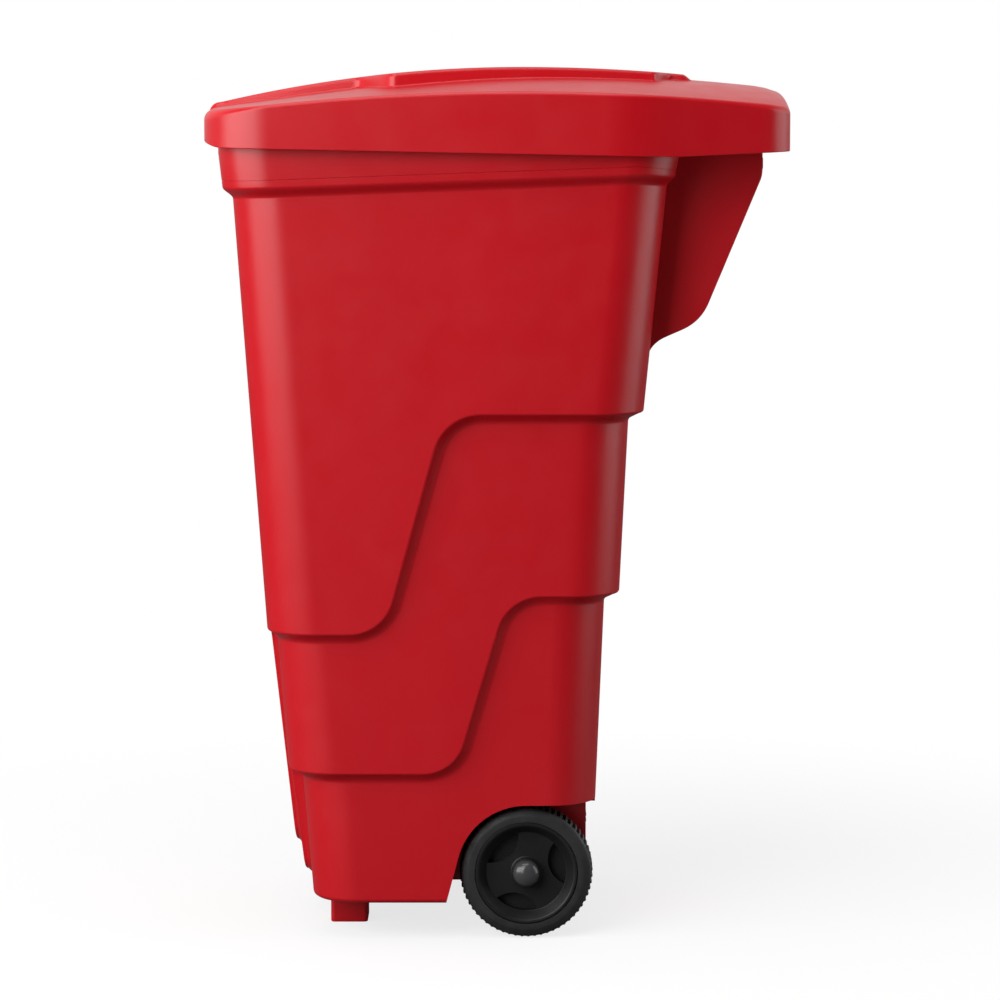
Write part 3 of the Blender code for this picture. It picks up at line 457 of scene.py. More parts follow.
def inset_outline(outline: Sequence[Flat], inset: float) -> list[Flat]:
    """Return a closed outline drawn in square to its sides.

    Args:
        outline: Points of the outline, in order.
        inset: How far each side moves towards the inside.

    Returns:
        As many points as the outline has.
    """
    following = [*outline[1:], outline[0]]
    area = sum(a[0] * b[1] - b[0] * a[1] for a, b in zip(outline, following))
    turn = 1.0 if area > 0 else -1.0
    result = []
    for index, spot in enumerate(outline):
        before = Vector(spot) - Vector(outline[index - 1])
        after = Vector(outline[(index + 1) % len(outline)]) - Vector(spot)
        first = Vector((-before.y, before.x)).normalized() * turn
        second = Vector((-after.y, after.x)).normalized() * turn
        middle = (first + second).normalized()
        reach = inset / max(middle.dot(first), LEAST_MITRE)
        result.append(tuple(Vector(spot) + middle * reach))
    return result


def soft_prism(outline: Sequence[Flat], start: float, end: float, radius: float,
               shares: Sequence[float] | None = None) -> tuple[list, list]:
    """Return vertices and faces of an outline drawn out along X, with rounded edges.

    Args:
        outline: Points of the (y, z) outline.
        start: Where the piece starts along X.
        end: Where it ends.
        radius: Radius of the edges round both ends.
        shares: How much of the rounding each point gets; all of it without them.

    Returns:
        The vertices and the faces.
    """
    near, far = [], []
    way = 1.0 if end > start else -1.0
    for turn in quarter(EDGE_STEPS):
        drawn = inset_outline(outline, radius * (1.0 - math.sin(turn)))
        if shares:
            rows = zip(outline, drawn, shares)
            drawn = [Vector(spot).lerp(Vector(soft), share) for spot, soft, share in rows]
        run_in = way * radius * (1.0 - math.cos(turn))
        near.append([(start + run_in, y, z) for y, z in drawn])
        far.append([(end - run_in, y, z) for y, z in drawn])
    return stack(near + far[::-1])


def circle(radius: float, y: float, z: float, sides: int) -> list[Flat]:
    """Return a (y, z) circle outline."""
    turns = [2 * math.pi * index / sides for index in range(sides)]
    return [(y + radius * math.cos(turn), z + radius * math.sin(turn)) for turn in turns]


def lathe(profile: Iterable[Flat], y: float, z: float, sides: int) -> list[Ring]:
    """Return a ring about an axis along X for each (x, radius) point of a profile."""
    return [[(x, py, pz) for py, pz in circle(radius, y, z, sides)] for x, radius in profile]


def turned(profile: Sequence[Flat], y: float, z: float, sides: int) -> tuple[list, list]:
    """Return vertices and faces of a closed (x, radius) outline turned about an axis along X."""
    points = [point for ring in lathe(profile, y, z, sides) for point in ring]
    return points, ring_faces(sides, len(profile), closed=True)


def arc(centre: Flat, radius: float, start: float, end: float, steps: int) -> list[Flat]:
    """Return points of an arc, without its first point.

    Args:
        centre: The arc's centre.
        radius: Its radius.
        start: The angle that it starts at, in radians.
        end: The angle that it ends at.
        steps: How many points it has.

    Returns:
        The arc's points.
    """
    y, z = centre
    turns = [start + (end - start) * index / steps for index in range(1, steps + 1)]
    return [(y + radius * math.cos(turn), z + radius * math.sin(turn)) for turn in turns]


def bend(before: Flat, corner: Flat, after: Flat, reach: float) -> list[Flat]:
    """Return points of a curve that cuts a corner between two straight lines.

    Args:
        before: A point on the line that comes in.
        corner: Where the lines meet.
        after: A point on the line that goes out.
        reach: How far from the corner the curve starts and ends.

    Returns:
        The curve's points, from one line to the other.
    """
    middle = Vector(corner)
    start = middle + (Vector(before) - middle).normalized() * reach
    end = middle + (Vector(after) - middle).normalized() * reach
    points = []
    for index in range(BEND_STEPS + 1):
        share = index / BEND_STEPS
        points.append(tuple(start.lerp(middle, share).lerp(middle.lerp(end, share), share)))
    return points


def mirrored(half: list) -> list:
    """Return a closed ring from its +X half, which runs from the front to the rear."""
    return half + [(-point[0], *point[1:]) for point in reversed(half[1:-1])]


def lerp_ring(first: Ring, second: Ring, share: float) -> Ring:
    """Return a ring part way between two rings."""
    return [tuple(Vector(a).lerp(Vector(b), share)) for a, b in zip(first, second)]


def combine(target: bpy.types.Object, tools: Sequence[bpy.types.Object], way: Join) -> None:
    """Cut solids out of an object or join them on, and remove them.

    Args:
        target: The object that changes.
        tools: The solids that shape it.
        way: Whether they are cut out or joined on.
    """
    for tool in tools:
        modifier = target.modifiers.new(tool.name, "BOOLEAN")
        modifier.operation = way.value
        modifier.solver = "EXACT"
        modifier.object = tool
    graph = bpy.context.evaluated_depsgraph_get()
    mesh = bpy.data.meshes.new_from_object(target.evaluated_get(graph))
    target.modifiers.clear()
    target.data = mesh
    for tool in tools:
        bpy.data.objects.remove(tool, do_unlink=True)


def finish_surface(item: bpy.types.Object, degrees: float = SHARP_ANGLE) -> bpy.types.Object:
    """Shade a piece smooth, keep its sharp edges and let its large faces lead the shading.

    Args:
        item: The piece.
        degrees: Edges that turn more than this stay sharp.

    Returns:
        The same piece.
    """
    item.data.shade_smooth()
    item.data.set_sharp_from_angle(angle=math.radians(degrees))
    weights = item.modifiers.new("even_shading", "WEIGHTED_NORMAL")
    weights.keep_sharp = True
    return item


def settle(item: bpy.types.Object, body: str, node: str,
           material: bpy.types.Material) -> None:
    """Let a piece stand for a CAD node, ride on its body and wear a finish.

    Args:
        item: The piece.
        body: The body that it moves with.
        node: The CAD node that it replaces.
        material: The finish.
    """
    item.data.materials.clear()
    item.data.materials.append(material)
    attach(item, body)
    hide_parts(node)
    LOG.info("%s stands for %s on %s", item.name, node, body)


# Lid

@dataclass
class Lid:
    """The moulded lid: deep skirt, crowned top, raised deck, handle notch and knuckles."""

    length: float = 0.592
    width: float = 0.497
    wall: float = 0.003
    front_corner: float = 0.066
    rear_corner: float = 0.024
    front_round: float = 0.0095
    rear_round: float = 0.0060
    side_round: float = 0.0035
    tail_start_y: float = 0.105
    tail_bend: float = 0.060
    tail_slope: float = 0.290
    edge_crest_z: float = 0.8737
    edge_crest_y: float = 0.020
    edge_arch_radius: float = 2.37
    skirt_front_z: float = 0.8182
    skirt_low_z: float = 0.8088
    skirt_low_y: float = 0.180
    skirt_rear_z: float = 0.8136
    lip_rise: float = 0.0055
    lip_depth: float = 0.019
    crown_front: float = 0.004
    crown_rear: float = 0.0185
    crown_end_y: float = 0.050
    crown_power: float = 3.0
    rear_fall: float = 0.005
    rear_fall_length: float = 0.028
    nose_rise: float = 0.005
    nose_taper: float = 0.006
    nose_depth: float = 0.034
    nose_slope: float = 0.015
    deck_crest_z: float = 0.898499
    deck_crest_y: float = 0.024
    deck_front_radius: float = 1.33
    deck_rear_radius: float = 1.85
    deck_wall: float = 0.0026
    deck_round: float = 0.0044
    deck_fillet: float = 0.0018
    deck_least: float = 0.0015
    deck_front_fade: float = 0.040
    deck_front_corner: float = 0.010
    deck_front_y: float = -0.2855
    deck_rear_y: float = 0.204
    deck_strip_half: float = 0.118
    deck_tail_half: float = 0.104
    deck_wide_half: float = 0.182
    deck_wide_rear_half: float = 0.146
    deck_wide_front_y: float = -0.104
    deck_wide_rear_y: float = 0.160
    deck_taper: float = 0.042
    deck_tail_taper: float = 0.018
    deck_tail_fall: float = 0.012
    notch_half: float = 0.176
    notch_top_z: float = 0.8455
    hem: float = 0.0012
    hem_share: float = 0.3
    knuckle_round: float = 0.0012
    # Steps of half the plan: nose, nose flank, front, front corner, side, rear corner, rear.
    plan_steps: tuple[int, ...] = (8, 10, 5, 18, 130, 10, 14)
    # Steps of half the deck's front and of its corner.
    deck_front_steps: tuple[int, int] = (8, 9)
    deck_shares: tuple[float, ...] = (0.97, 0.85, 0.7, 0.5, 0.25)
    fillet_steps: int = 4
    deck_round_steps: int = 5
    edge_steps: int = 8
    top_steps: int = 8

    @property
    def deck_middle(self) -> float:
        """Return the place of the deck's middle along the lid."""
        return (self.deck_front_y + self.deck_rear_y) / 2

    @property
    def deck_reach(self) -> float:
        """Return half the deck's length."""
        return (self.deck_rear_y - self.deck_front_y) / 2

    def half_width(self, y: float) -> float:
        """Return half the lid's width at a place; the tail over the handle is narrower.

        Args:
            y: The place along the lid.

        Returns:
            Half the width.
        """
        past = min(max(y - self.tail_start_y, 0.0), self.tail_bend)
        beyond = max(y - self.tail_start_y - self.tail_bend, 0.0)
        return self.width / 2 - self.tail_slope * (past * past / (2 * self.tail_bend) + beyond)

    def edge_z(self, y: float) -> float:
        """Return the height of the long top edge, a shallow arch."""
        return self.edge_crest_z - (y - self.edge_crest_y) ** 2 / (2 * self.edge_arch_radius)

    def crown_z(self, x: float, y: float) -> float:
        """Return the height of the crowned top, which falls away at its rear end.

        Args:
            x: The place across the lid.
            y: The place along the lid.

        Returns:
            The height.
        """
        half_length, half_width = self.length / 2, self.half_width(y)
        rise = smooth_rise((y + half_length) / (self.crown_end_y + half_length))
        crown = self.crown_front + (self.crown_rear - self.crown_front) * rise
        fall = max(1.0 + (y - half_length) / self.rear_fall_length, 0.0)
        height = crown * (1.0 - abs(x / half_width) ** self.crown_power)
        return self.edge_z(y) + height - self.rear_fall * fall * fall

    def top_z(self, x: float, y: float) -> float:
        """Return the height of the top without the deck, raised where the deck meets the front.

        Args:
            x: The place across the lid.
            y: The place along the lid.

        Returns:
            The height.
        """
        inside = smooth_rise((self.deck_strip_half - abs(x)) / self.nose_taper)
        ahead = smooth_rise((self.nose_depth - self.length / 2 - y) / self.nose_slope)
        return self.crown_z(x, y) + self.nose_rise * inside * ahead

    def deck_z(self, x: float, y: float) -> float:
        """Return the height of the deck: level across, arched along, let down at its rear end.

        Args:
            x: The place across the lid.
            y: The place along the lid.

        Returns:
            The height.
        """
        along = y - self.deck_crest_y
        radius = self.deck_front_radius if along < 0 else self.deck_rear_radius
        arch = self.deck_crest_z - along * along / (2 * radius)
        step = self.deck_least * smooth_rise((y - self.deck_front_y) / self.deck_front_fade)
        low = self.top_z(x, y)
        rear = self.deck_rear_y - self.deck_wall - self.deck_round
        share = smooth_rise((rear + self.deck_tail_fall / 2 - y) / self.deck_tail_fall)
        return low + share * (max(arch, low + step) - low)

    def skirt_z(self, y: float) -> float:
        """Return the height of the skirt's lower edge, which lifts to a lip at the front.

        Args:
            y: The place along the lid.

        Returns:
            The height.
        """
        half = self.length / 2
        if y < self.skirt_low_y:
            share = (y + half) / (self.skirt_low_y + half)
            lip = max(1.0 - (y + half) / self.lip_depth, 0.0)
            straight = self.skirt_front_z + (self.skirt_low_z - self.skirt_front_z) * share
            return straight + self.lip_rise * lip * lip
        share = (y - self.skirt_low_y) / (half - self.skirt_low_y)
        return self.skirt_low_z + (self.skirt_rear_z - self.skirt_low_z) * share

    def deck_half(self, y: float) -> float:
        """Return half the deck's width at a place along the lid.

        Args:
            y: The place along the lid.

        Returns:
            Half the width.
        """
        front = smooth_rise((y - self.deck_wide_front_y + self.deck_taper) / self.deck_taper)
        along = (y - self.deck_wide_front_y) / (self.deck_wide_rear_y - self.deck_wide_front_y)
        narrowing = self.deck_wide_rear_half - self.deck_wide_half
        wide = self.deck_wide_half + narrowing * max(along, 0.0)
        ahead = self.deck_wide_rear_y + self.deck_tail_taper - y
        rear = smooth_rise(ahead / self.deck_tail_taper)
        width = self.deck_strip_half + (wide - self.deck_strip_half) * front
        return self.deck_tail_half + (width - self.deck_tail_half) * rear

    def plan(self, inset: float) -> list[Flat]:
        """Return one half of the plan outline with straight sides.

        Args:
            inset: How far it is drawn in.

        Returns:
            The half's points, from the front to the rear.
        """
        width, length = self.width / 2 - inset, self.length / 2 - inset
        front, rear = self.front_corner - inset, self.rear_corner - inset
        inner, outer = self.deck_strip_half - self.nose_taper, self.deck_strip_half
        nose, flank, brow, turn, side, rear_turn, tail = self.plan_steps
        rest = width - front - outer
        half = [(index / nose * inner, -length) for index in range(nose)]
        half += [(inner + index / flank * (outer - inner), -length) for index in range(flank)]
        half += [(outer + index / brow * rest, -length) for index in range(brow + 1)]
        half += arc((width - front, front - length), front, -math.pi / 2, 0.0, turn)
        start, end = front - length, length - rear
        half += [(width, start + (end - start) * index / side) for index in range(1, side + 1)]
        half += arc((width - rear, length - rear), rear, 0.0, math.pi / 2, rear_turn)
        half += [((width - rear) * (1 - index / tail), length) for index in range(1, tail + 1)]
        return half

    def deck_plan(self) -> list[Flat]:
        """Return one half of the deck's foot in plan.

        Returns:
            For each point a share of the deck's width and a place along it.
        """
        half_width, half_length = self.width / 2, self.length / 2
        middle, reach = self.deck_middle, self.deck_reach
        along = [(x / half_width, middle + y / half_length * reach) for x, y in self.plan(0.0)]
        corner, strip, front = self.deck_front_corner, self.deck_strip_half, self.deck_front_y
        across, around = self.deck_front_steps
        half = [(index / across * (strip - corner) / strip, front) for index in range(across + 1)]
        turn = arc((strip - corner, front + corner), corner, -math.pi / 2, 0.0, around)
        half += [(x / strip, y) for x, y in turn]
        # The plan's points from its front to where its straight side starts.
        ahead = sum(self.plan_steps[:4]) + 1
        start, end, run = front + corner, along[ahead - 1][1], ahead - len(half)
        half += [(1.0, start + (end - start) * index / run) for index in range(1, run + 1)]
        return half + along[ahead:]

    def outline(self, inset: float) -> list[Flat]:
        """Return the plan outline with the narrow tail, drawn in by an inset."""
        return mirrored([(x * self.half_width(y) * 2 / self.width, y) for x, y in self.plan(inset)])

    def deck_ring(self, inset: float, share: float, height: HeightRule, drop: float) -> Ring:
        """Return a ring of the deck.

        Args:
            inset: How far it is drawn in from the deck's foot.
            share: How far it is drawn in towards the middle, as a share.
            height: The ring's height between the top under the deck and the deck.
            drop: How far below the surface it lies.

        Returns:
            The ring's points.
        """
        middle, reach = self.deck_middle, self.deck_reach
        half = []
        for side, place in self.deck_plan():
            y = middle + (place - middle) * (1.0 - inset / reach)
            x = side * (self.deck_half(y) - inset) * share
            y = middle + (y - middle) * share
            half.append((x, y, height(self.top_z(x, y), self.deck_z(x, y)) - drop))
        return mirrored(half)

    def deck_rings(self, drop: float) -> list[Ring]:
        """Return the rings of the deck and of its wall, with a filleted foot and a rounded top.

        Args:
            drop: How far below the surface and inside the wall they lie.

        Returns:
            The rings, from the foot to the middle.
        """
        rings = [self.deck_ring(drop, 1.0, lambda low, high: low, drop)]
        for turn in quarter(self.fillet_steps)[1:]:
            up, draw = 1.0 - math.cos(turn), self.deck_fillet * math.sin(turn)
            rings.append(self.deck_ring(
                drop + draw, 1.0,
                lambda low, high, up=up: low + up * min(self.deck_fillet, (high - low) / 4), drop))
        for turn in quarter(self.deck_round_steps):
            down = 1.0 - math.sin(turn)
            draw = self.deck_wall + self.deck_round * (1.0 - math.cos(turn))
            rings.append(self.deck_ring(
                drop + draw, 1.0,
                lambda low, high, down=down: high - down * min(self.deck_round, (high - low) / 2),
                drop))
        whole = self.deck_wall + self.deck_round
        for share in self.deck_shares:
            rings.append(self.deck_ring(drop + whole, share, lambda low, high: high, drop))
        return rings

    def edge_radius(self, y: float) -> float:
        """Return the radius of the top edge, large at both ends and small along the sides.

        Args:
            y: The place along the lid.

        Returns:
            The radius.
        """
        middle = self.length / 2 - self.front_corner
        ends = smooth_rise((abs(y) - middle) / self.front_corner)
        end_round = self.front_round if y < 0 else self.rear_round
        return self.side_round + (end_round - self.side_round) * ends

    def laid_between(self, first: Ring, second: Ring, share: float, drop: float) -> Ring:
        """Return a ring between two others in plan, laid on the crowned top or under it."""
        ring = lerp_ring(first, second, share)
        return [(x, y, self.top_z(x, y) - drop) for x, y, z in ring]

    def surface(self, inset: float, drop: float) -> list[Ring]:
        """Return rings from the skirt's lower edge to the middle of the deck.

        Args:
            inset: How far the skirt is drawn in, for the inner face.
            drop: How far the top is lowered, for the inner face.

        Returns:
            The rings, from the skirt to the middle.
        """
        hem, fine = self.hem, self.hem_share * self.hem
        low = [self.skirt_z(y) for x, y in self.outline(0.0)]
        hems = ((self.wall, 0.0),) if inset else ((hem, 0.0), (fine, fine), (0.0, hem))
        rings = []
        for drawn, up in hems:
            rings.append([(x, y, z + up) for (x, y), z in zip(self.outline(drawn), low)])
        plain, soft = self.outline(inset), self.outline(inset + self.front_round)
        for turn in quarter(self.edge_steps):
            ring = []
            for spot, far in zip(plain, soft):
                radius = self.edge_radius(spot[1])
                share = radius / self.front_round * (1.0 - math.cos(turn))
                x, y = Vector(spot).lerp(Vector(far), share)
                ring.append((x, y, self.top_z(x, y) - drop - radius * (1.0 - math.sin(turn))))
            rings.append(ring)
        deck, edge, steps = self.deck_rings(drop), rings[-1], self.top_steps
        for index in range(1, steps):
            rings.append(self.laid_between(edge, deck[0], index / steps, drop))
        return rings + deck

    def build(self, hinge: "Hinge") -> bpy.types.Object:
        """Return the lid as one closed shell.

        Args:
            hinge: The hinge that its knuckles turn on.

        Returns:
            The lid's object.
        """
        inner, outer = self.surface(self.wall, self.wall), self.surface(0.0, 0.0)
        middle_y = self.deck_middle
        top = self.deck_z(0.0, middle_y)
        ends = (0.0, middle_y, top - self.wall), (0.0, middle_y, top)
        lid = make_piece("lid_shell", *stack(inner[::-1] + outer, *ends))
        notch_front = self.length / 2 - self.rear_corner
        notch = box((-self.notch_half, notch_front, 0.0),
                    (self.notch_half, self.length, self.notch_top_z))
        combine(lid, [make_piece("notch", *notch)], Join.CUT)
        half = hinge.knuckle_width / 2
        root = self.top_z(hinge.x + half, hinge.y + hinge.eye_radius) - self.wall / 2
        eye = hinge.eye_outline(root, above=True)
        knuckles = []
        for side in Side:
            middle = side.value * hinge.x
            knuckle = soft_prism(eye, middle - half, middle + half, self.knuckle_round)
            knuckles.append(make_piece("knuckle", *knuckle))
        combine(lid, knuckles, Join.ADD)
        combine(lid, hinge.bores(hinge.knuckle_width + hinge.knuckle_overrun), Join.CUT)
        return finish_surface(lid)


# Hinge

@dataclass
class Hinge:
    """The two pins at the rear that the lid turns on, and the eyes round them."""

    x: float = 0.115
    y: float = 0.258
    z: float = 0.822
    pin_radius: float = 0.004
    head_radius: float = 0.0055
    head_thickness: float = 0.002
    eye_radius: float = 0.008
    knuckle_width: float = 0.018
    ear_width: float = 0.006
    ear_round: float = 0.001
    fit: float = 0.0003
    chamfer: float = 0.0006
    knuckle_overrun: float = 0.004
    ear_overrun: float = 0.016
    eye_steps: int = 24
    sides: int = 40

    def eye_outline(self, foot_z: float, above: bool) -> list[Flat]:
        """Return the (y, z) outline of an eye with a straight leg.

        Args:
            foot_z: The height where the leg ends.
            above: Whether the leg goes up from the eye.

        Returns:
            The outline's points.
        """
        way = -1.0 if above else 1.0
        outline = [(self.y + self.eye_radius, self.z)]
        outline += arc((self.y, self.z), self.eye_radius, 0.0, way * math.pi, self.eye_steps)
        return outline + [(self.y - self.eye_radius, foot_z), (self.y + self.eye_radius, foot_z)]

    def bores(self, along: float) -> list[bpy.types.Object]:
        """Return a rod through each eye, as wide as the hole for its pin.

        Args:
            along: How long the rods are.

        Returns:
            The two rods.
        """
        hole, half = circle(self.pin_radius + self.fit, self.y, self.z, self.sides), along / 2
        rods = []
        for side in Side:
            middle = side.value * self.x
            rods.append(make_piece("bore", *prism(hole, middle - half, middle + half)))
        return rods

    def build_pin(self, side: Side) -> bpy.types.Object:
        """Return one pin with a chamfered tail and a flat head.

        Args:
            side: The side that it is on.

        Returns:
            The pin's object.
        """
        out = self.knuckle_width / 2 + self.fit + self.ear_width
        seat, edge = out + self.fit, self.chamfer
        head = seat + self.head_thickness
        profile = [
            (-out, self.pin_radius - edge), (edge - out, self.pin_radius), (seat, self.pin_radius),
            (seat, self.head_radius), (head - edge, self.head_radius),
            (head, self.head_radius - edge),
        ]
        placed = [(side.value * (self.x + x), radius) for x, radius in profile]
        rings = lathe(placed, self.y, self.z, self.sides)
        return finish_surface(make_piece(f"hinge_pin_{side.word}_turned", *stack(rings)))


# Body

@dataclass(frozen=True)
class Tier:
    """The four drafted faces of one tier of the body, given at a reference height."""

    z: float
    front: float
    rear: float
    side: float
    front_slope: float
    rear_slope: float
    side_slope: float
    bend_z: float
    low_slope: float

    def front_y(self, z: float, inset: float) -> float:
        """Return the front face at a height, which has another slope below its bend."""
        upper, lower = max(z, self.bend_z), min(z - self.bend_z, 0.0)
        return inset - self.front - self.front_slope * (upper - self.z) - self.low_slope * lower

    def rear_y(self, z: float, inset: float) -> float:
        """Return the rear face at a height."""
        return self.rear + self.rear_slope * (z - self.z) - inset

    def side_x(self, z: float, inset: float) -> float:
        """Return the side face at a height."""
        return self.side + self.side_slope * (z - self.z) - inset

    def stretch(self, x: float, y: float, z: float, inset: float) -> Point:
        """Return a plan point of the reference height, moved to the faces at another height.

        Args:
            x: The point's place across the body.
            y: The point's place along it.
            z: The other height.
            inset: How far inside the faces it lies.

        Returns:
            The moved point.
        """
        here = self.front_y(z, inset), self.rear_y(z, inset)
        there = self.front_y(self.z, inset), self.rear_y(self.z, inset)
        wide = self.side_x(z, inset) / self.side_x(self.z, inset)
        along = (y - sum(there) / 2) * (here[1] - here[0]) / (there[1] - there[0])
        return x * wide, sum(here) / 2 + along, z


@dataclass(frozen=True)
class SweptEdge:
    """The lower edge of a tier: low at the front, swept up along the side, high at the rear."""

    front_z: float
    rear_z: float
    side_y: float
    side_angle: float
    side_round: float
    tongue_z: float
    tongue_half: float
    tongue_round: float
    tongue_angle: float = math.radians(80.0)

    @staticmethod
    def line(start: Flat, end: Flat, middle: float, angle: float, radius: float,
             steps: Sequence[int]) -> list[tuple[Vector, Vector]]:
        """Return points and unit tangents of a line that is level, sweeps up and is level again.

        Args:
            start: First point, along and up.
            end: Last point, along and up.
            middle: Place along the line where the sweep is half way up.
            angle: How steep the sweep is, in radians.
            radius: Radius of the two bends.
            steps: How many steps the five stretches have.

        Returns:
            A point and a tangent for each place.
        """
        half_run = (end[1] - start[1]) / 2 / math.tan(angle)
        tangent = radius * math.tan(angle / 2)
        level, slope = Vector((1.0, 0.0)), Vector((math.cos(angle), math.sin(angle)))
        low, high = Vector((middle - half_run, start[1])), Vector((middle + half_run, end[1]))
        low_centre = low - level * tangent + Vector((0.0, radius))
        high_centre = high + level * tangent - Vector((0.0, radius))
        places = [(Vector(start), level)]
        for index in range(1, steps[0] + 1):
            places.append((Vector(start).lerp(low - level * tangent, index / steps[0]), level))
        for index in range(1, steps[1] + 1):
            turn = angle * index / steps[1]
            way = Vector((math.cos(turn), math.sin(turn)))
            places.append((low_centre + radius * Vector((way.y, -way.x)), way))
        for index in range(1, steps[2] + 1):
            spot = (low + slope * tangent).lerp(high - slope * tangent, index / steps[2])
            places.append((spot, slope))
        for index in range(1, steps[3] + 1):
            turn = angle * (1.0 - index / steps[3])
            way = Vector((math.cos(turn), math.sin(turn)))
            places.append((high_centre + radius * Vector((-way.y, way.x)), way))
        for index in range(1, steps[4] + 1):
            places.append(((high + level * tangent).lerp(Vector(end), index / steps[4]), level))
        return places


@dataclass
class Handle:
    """The grip at the rear: two gussets, a shelf and a rounded rail."""

    rear_y: float = 0.2716
    top_z: float = 0.807
    lip_height: float = 0.0133
    lip_thickness: float = 0.005
    shelf_thickness: float = 0.004
    gusset_x: float = 0.140
    gusset_thickness: float = 0.004
    gusset_round: float = 0.0014
    gusset_lip_front: float = 0.0028
    gusset_lip_rear: float = 0.0052
    shoulder_drop: float = 0.0187
    shoulder_round: float = 0.006
    toe_drop: float = 0.1686
    toe_inset: float = 0.0626
    toe_round: float = 0.021
    root_drop: float = 0.1924
    root_round: float = 0.020
    top_round: float = 0.0015
    fade_rounds: float = 3.0


@dataclass
class Body:
    """The moulded body: rim, three overlapping tiers, wells, handle, ears, bosses and feet."""

    lid: Lid
    hinge: Hinge
    handle: Handle = field(default_factory=Handle)
    band: Tier = Tier(0.800, 0.2822, 0.1821, 0.2335, 0.0, 0.200, 0.030, 0.812, 0.116)
    top: Tier = Tier(0.760, 0.2680, 0.1702, 0.2220, 0.070, 0.097, 0.040, 0.320, 0.098)
    middle: Tier = Tier(0.360, 0.2310, 0.1259, 0.1954, 0.0765, 0.048, 0.030, 0.170, 0.115)
    base: Tier = Tier(0.165, 0.2025, 0.1031, 0.1796, 0.0816, 0.0405, 0.030, 0.0, 0.0816)
    top_edge: SweptEdge = SweptEdge(
        0.3212, 0.5475, -0.084, math.radians(74.6), 0.048, 0.080, 0.085, 0.026)
    middle_edge: SweptEdge = SweptEdge(
        0.1746, 0.3595, -0.0157, math.radians(73.5), 0.045, 0.0535, 0.095, 0.020)
    corner: float = 0.052
    wall: float = 0.003
    underside_z: float = 0.038
    bottom_round: float = 0.005
    step_fall: float = 0.007
    lip_round: float = 0.003
    root_round: float = 0.003
    seam_front_z: float = 0.7844
    seam_front_y: float = -0.268
    seam_rise: float = 0.0362
    seam_fall: float = 0.0046
    seam_fall_y: float = 0.135
    seam_fall_length: float = 0.050
    seam_gap: float = 0.0008
    seam_depth: float = 0.0007
    bead_drop: float = 0.0064
    bead_root_drop: float = 0.0186
    rim_width: float = 0.006
    rim_round: float = 0.001
    seat_gap: float = 0.0008
    axle_y: float = 0.030
    axle_z: float = 0.0689
    axle_radius: float = 0.006
    well_radius: float = 0.0725
    well_front_y: float = -0.053
    well_inner_x: float = 0.122
    undercut_depth: float = 0.0095
    undercut_top_z: float = 0.136
    tunnel_underside_z: float = 0.052
    tunnel_roof_z: float = 0.082
    boss_radius: float = 0.0145
    boss_inner_x: float = 0.106
    boss_face_x: float = 0.1255
    rib_x: float = 0.042
    foot_length: float = 0.039
    foot_width: float = 0.046
    foot_y: float = -0.1565
    foot_x: float = 0.068
    foot_round: float = 0.004
    # Height and inset of the rings at a foot's lower edge.
    foot_hem: tuple[Flat, ...] = ((0.0, 0.0012), (0.0004, 0.0004), (0.0012, 0.0))
    fit: float = 0.0003
    sink: float = 0.0015
    reach: float = 0.4
    headroom: float = 0.06
    rim_centre_y: float = -0.05
    # Places of the seam's rings in half gaps below its middle, and their share of its depth.
    seam_rows: tuple[Flat, ...] = (
        (-2.0, 0.0), (-1.0, 0.0), (-0.5, 1.0), (0.5, 1.0), (1.0, 0.0), (2.0, 0.0))
    # Places of a step's rings between its lip and its root.
    ledge_shares: tuple[float, ...] = (0.25, 0.5, 0.72)
    # The same for the root's own rings, each with its share of the root's round.
    root_shares: tuple[Flat, ...] = ((0.9, 0.15), (0.975, 0.5), (1.0, 1.0))
    front_steps: tuple[int, ...] = (5, 9, 8, 9, 4)
    side_steps: tuple[int, ...] = (10, 14, 14, 14, 10)
    corner_steps: int = 16
    rear_steps: int = 8
    rim_steps: int = 3
    bead_steps: int = 10
    gusset_steps: int = 5
    lip_steps: int = 5
    bottom_steps: int = 4
    floor_steps: int = 3
    well_steps: int = 40
    foot_steps: int = 8
    bore_sides: int = 48

    def corner_points(self, tier: Tier, z: float, inset: float, front: bool) -> Ring:
        """Return a corner of a tier at one height, without its first point.

        Args:
            tier: The tier whose faces carry the corner.
            z: The height.
            inset: How far it lies inside the faces.
            front: Whether it is the front corner and not the rear one.

        Returns:
            The corner's points.
        """
        radius = self.corner - inset
        centre_x = tier.side_x(z, inset) - radius
        if front:
            centre, start = (centre_x, tier.front_y(z, inset) + radius), -math.pi / 2
        else:
            centre, start = (centre_x, tier.rear_y(z, inset) - radius), 0.0
        spots = arc(centre, radius, start, start + math.pi / 2, self.corner_steps)
        return [(x, y, z) for x, y in spots]

    def rear_points(self, last: Sequence[float]) -> list:
        """Return points from the end of the rear corner to the middle of the rear."""
        shares = [1 - index / self.rear_steps for index in range(1, self.rear_steps + 1)]
        return [(last[0] * share, *last[1:]) for share in shares]

    def front_line(self, edge: SweptEdge, end: float) -> list[tuple[Vector, Vector]]:
        """Return the edge's line across half the front, with the tongue's flank."""
        return SweptEdge.line((0.0, edge.tongue_z), (end, edge.front_z), edge.tongue_half,
                              edge.tongue_angle, edge.tongue_round, self.front_steps)

    def side_line(self, edge: SweptEdge, start: float, end: float) -> list[tuple[Vector, Vector]]:
        """Return the edge's line along the side."""
        return SweptEdge.line((start, edge.front_z), (end, edge.rear_z), edge.side_y,
                              edge.side_angle, edge.side_round, self.side_steps)

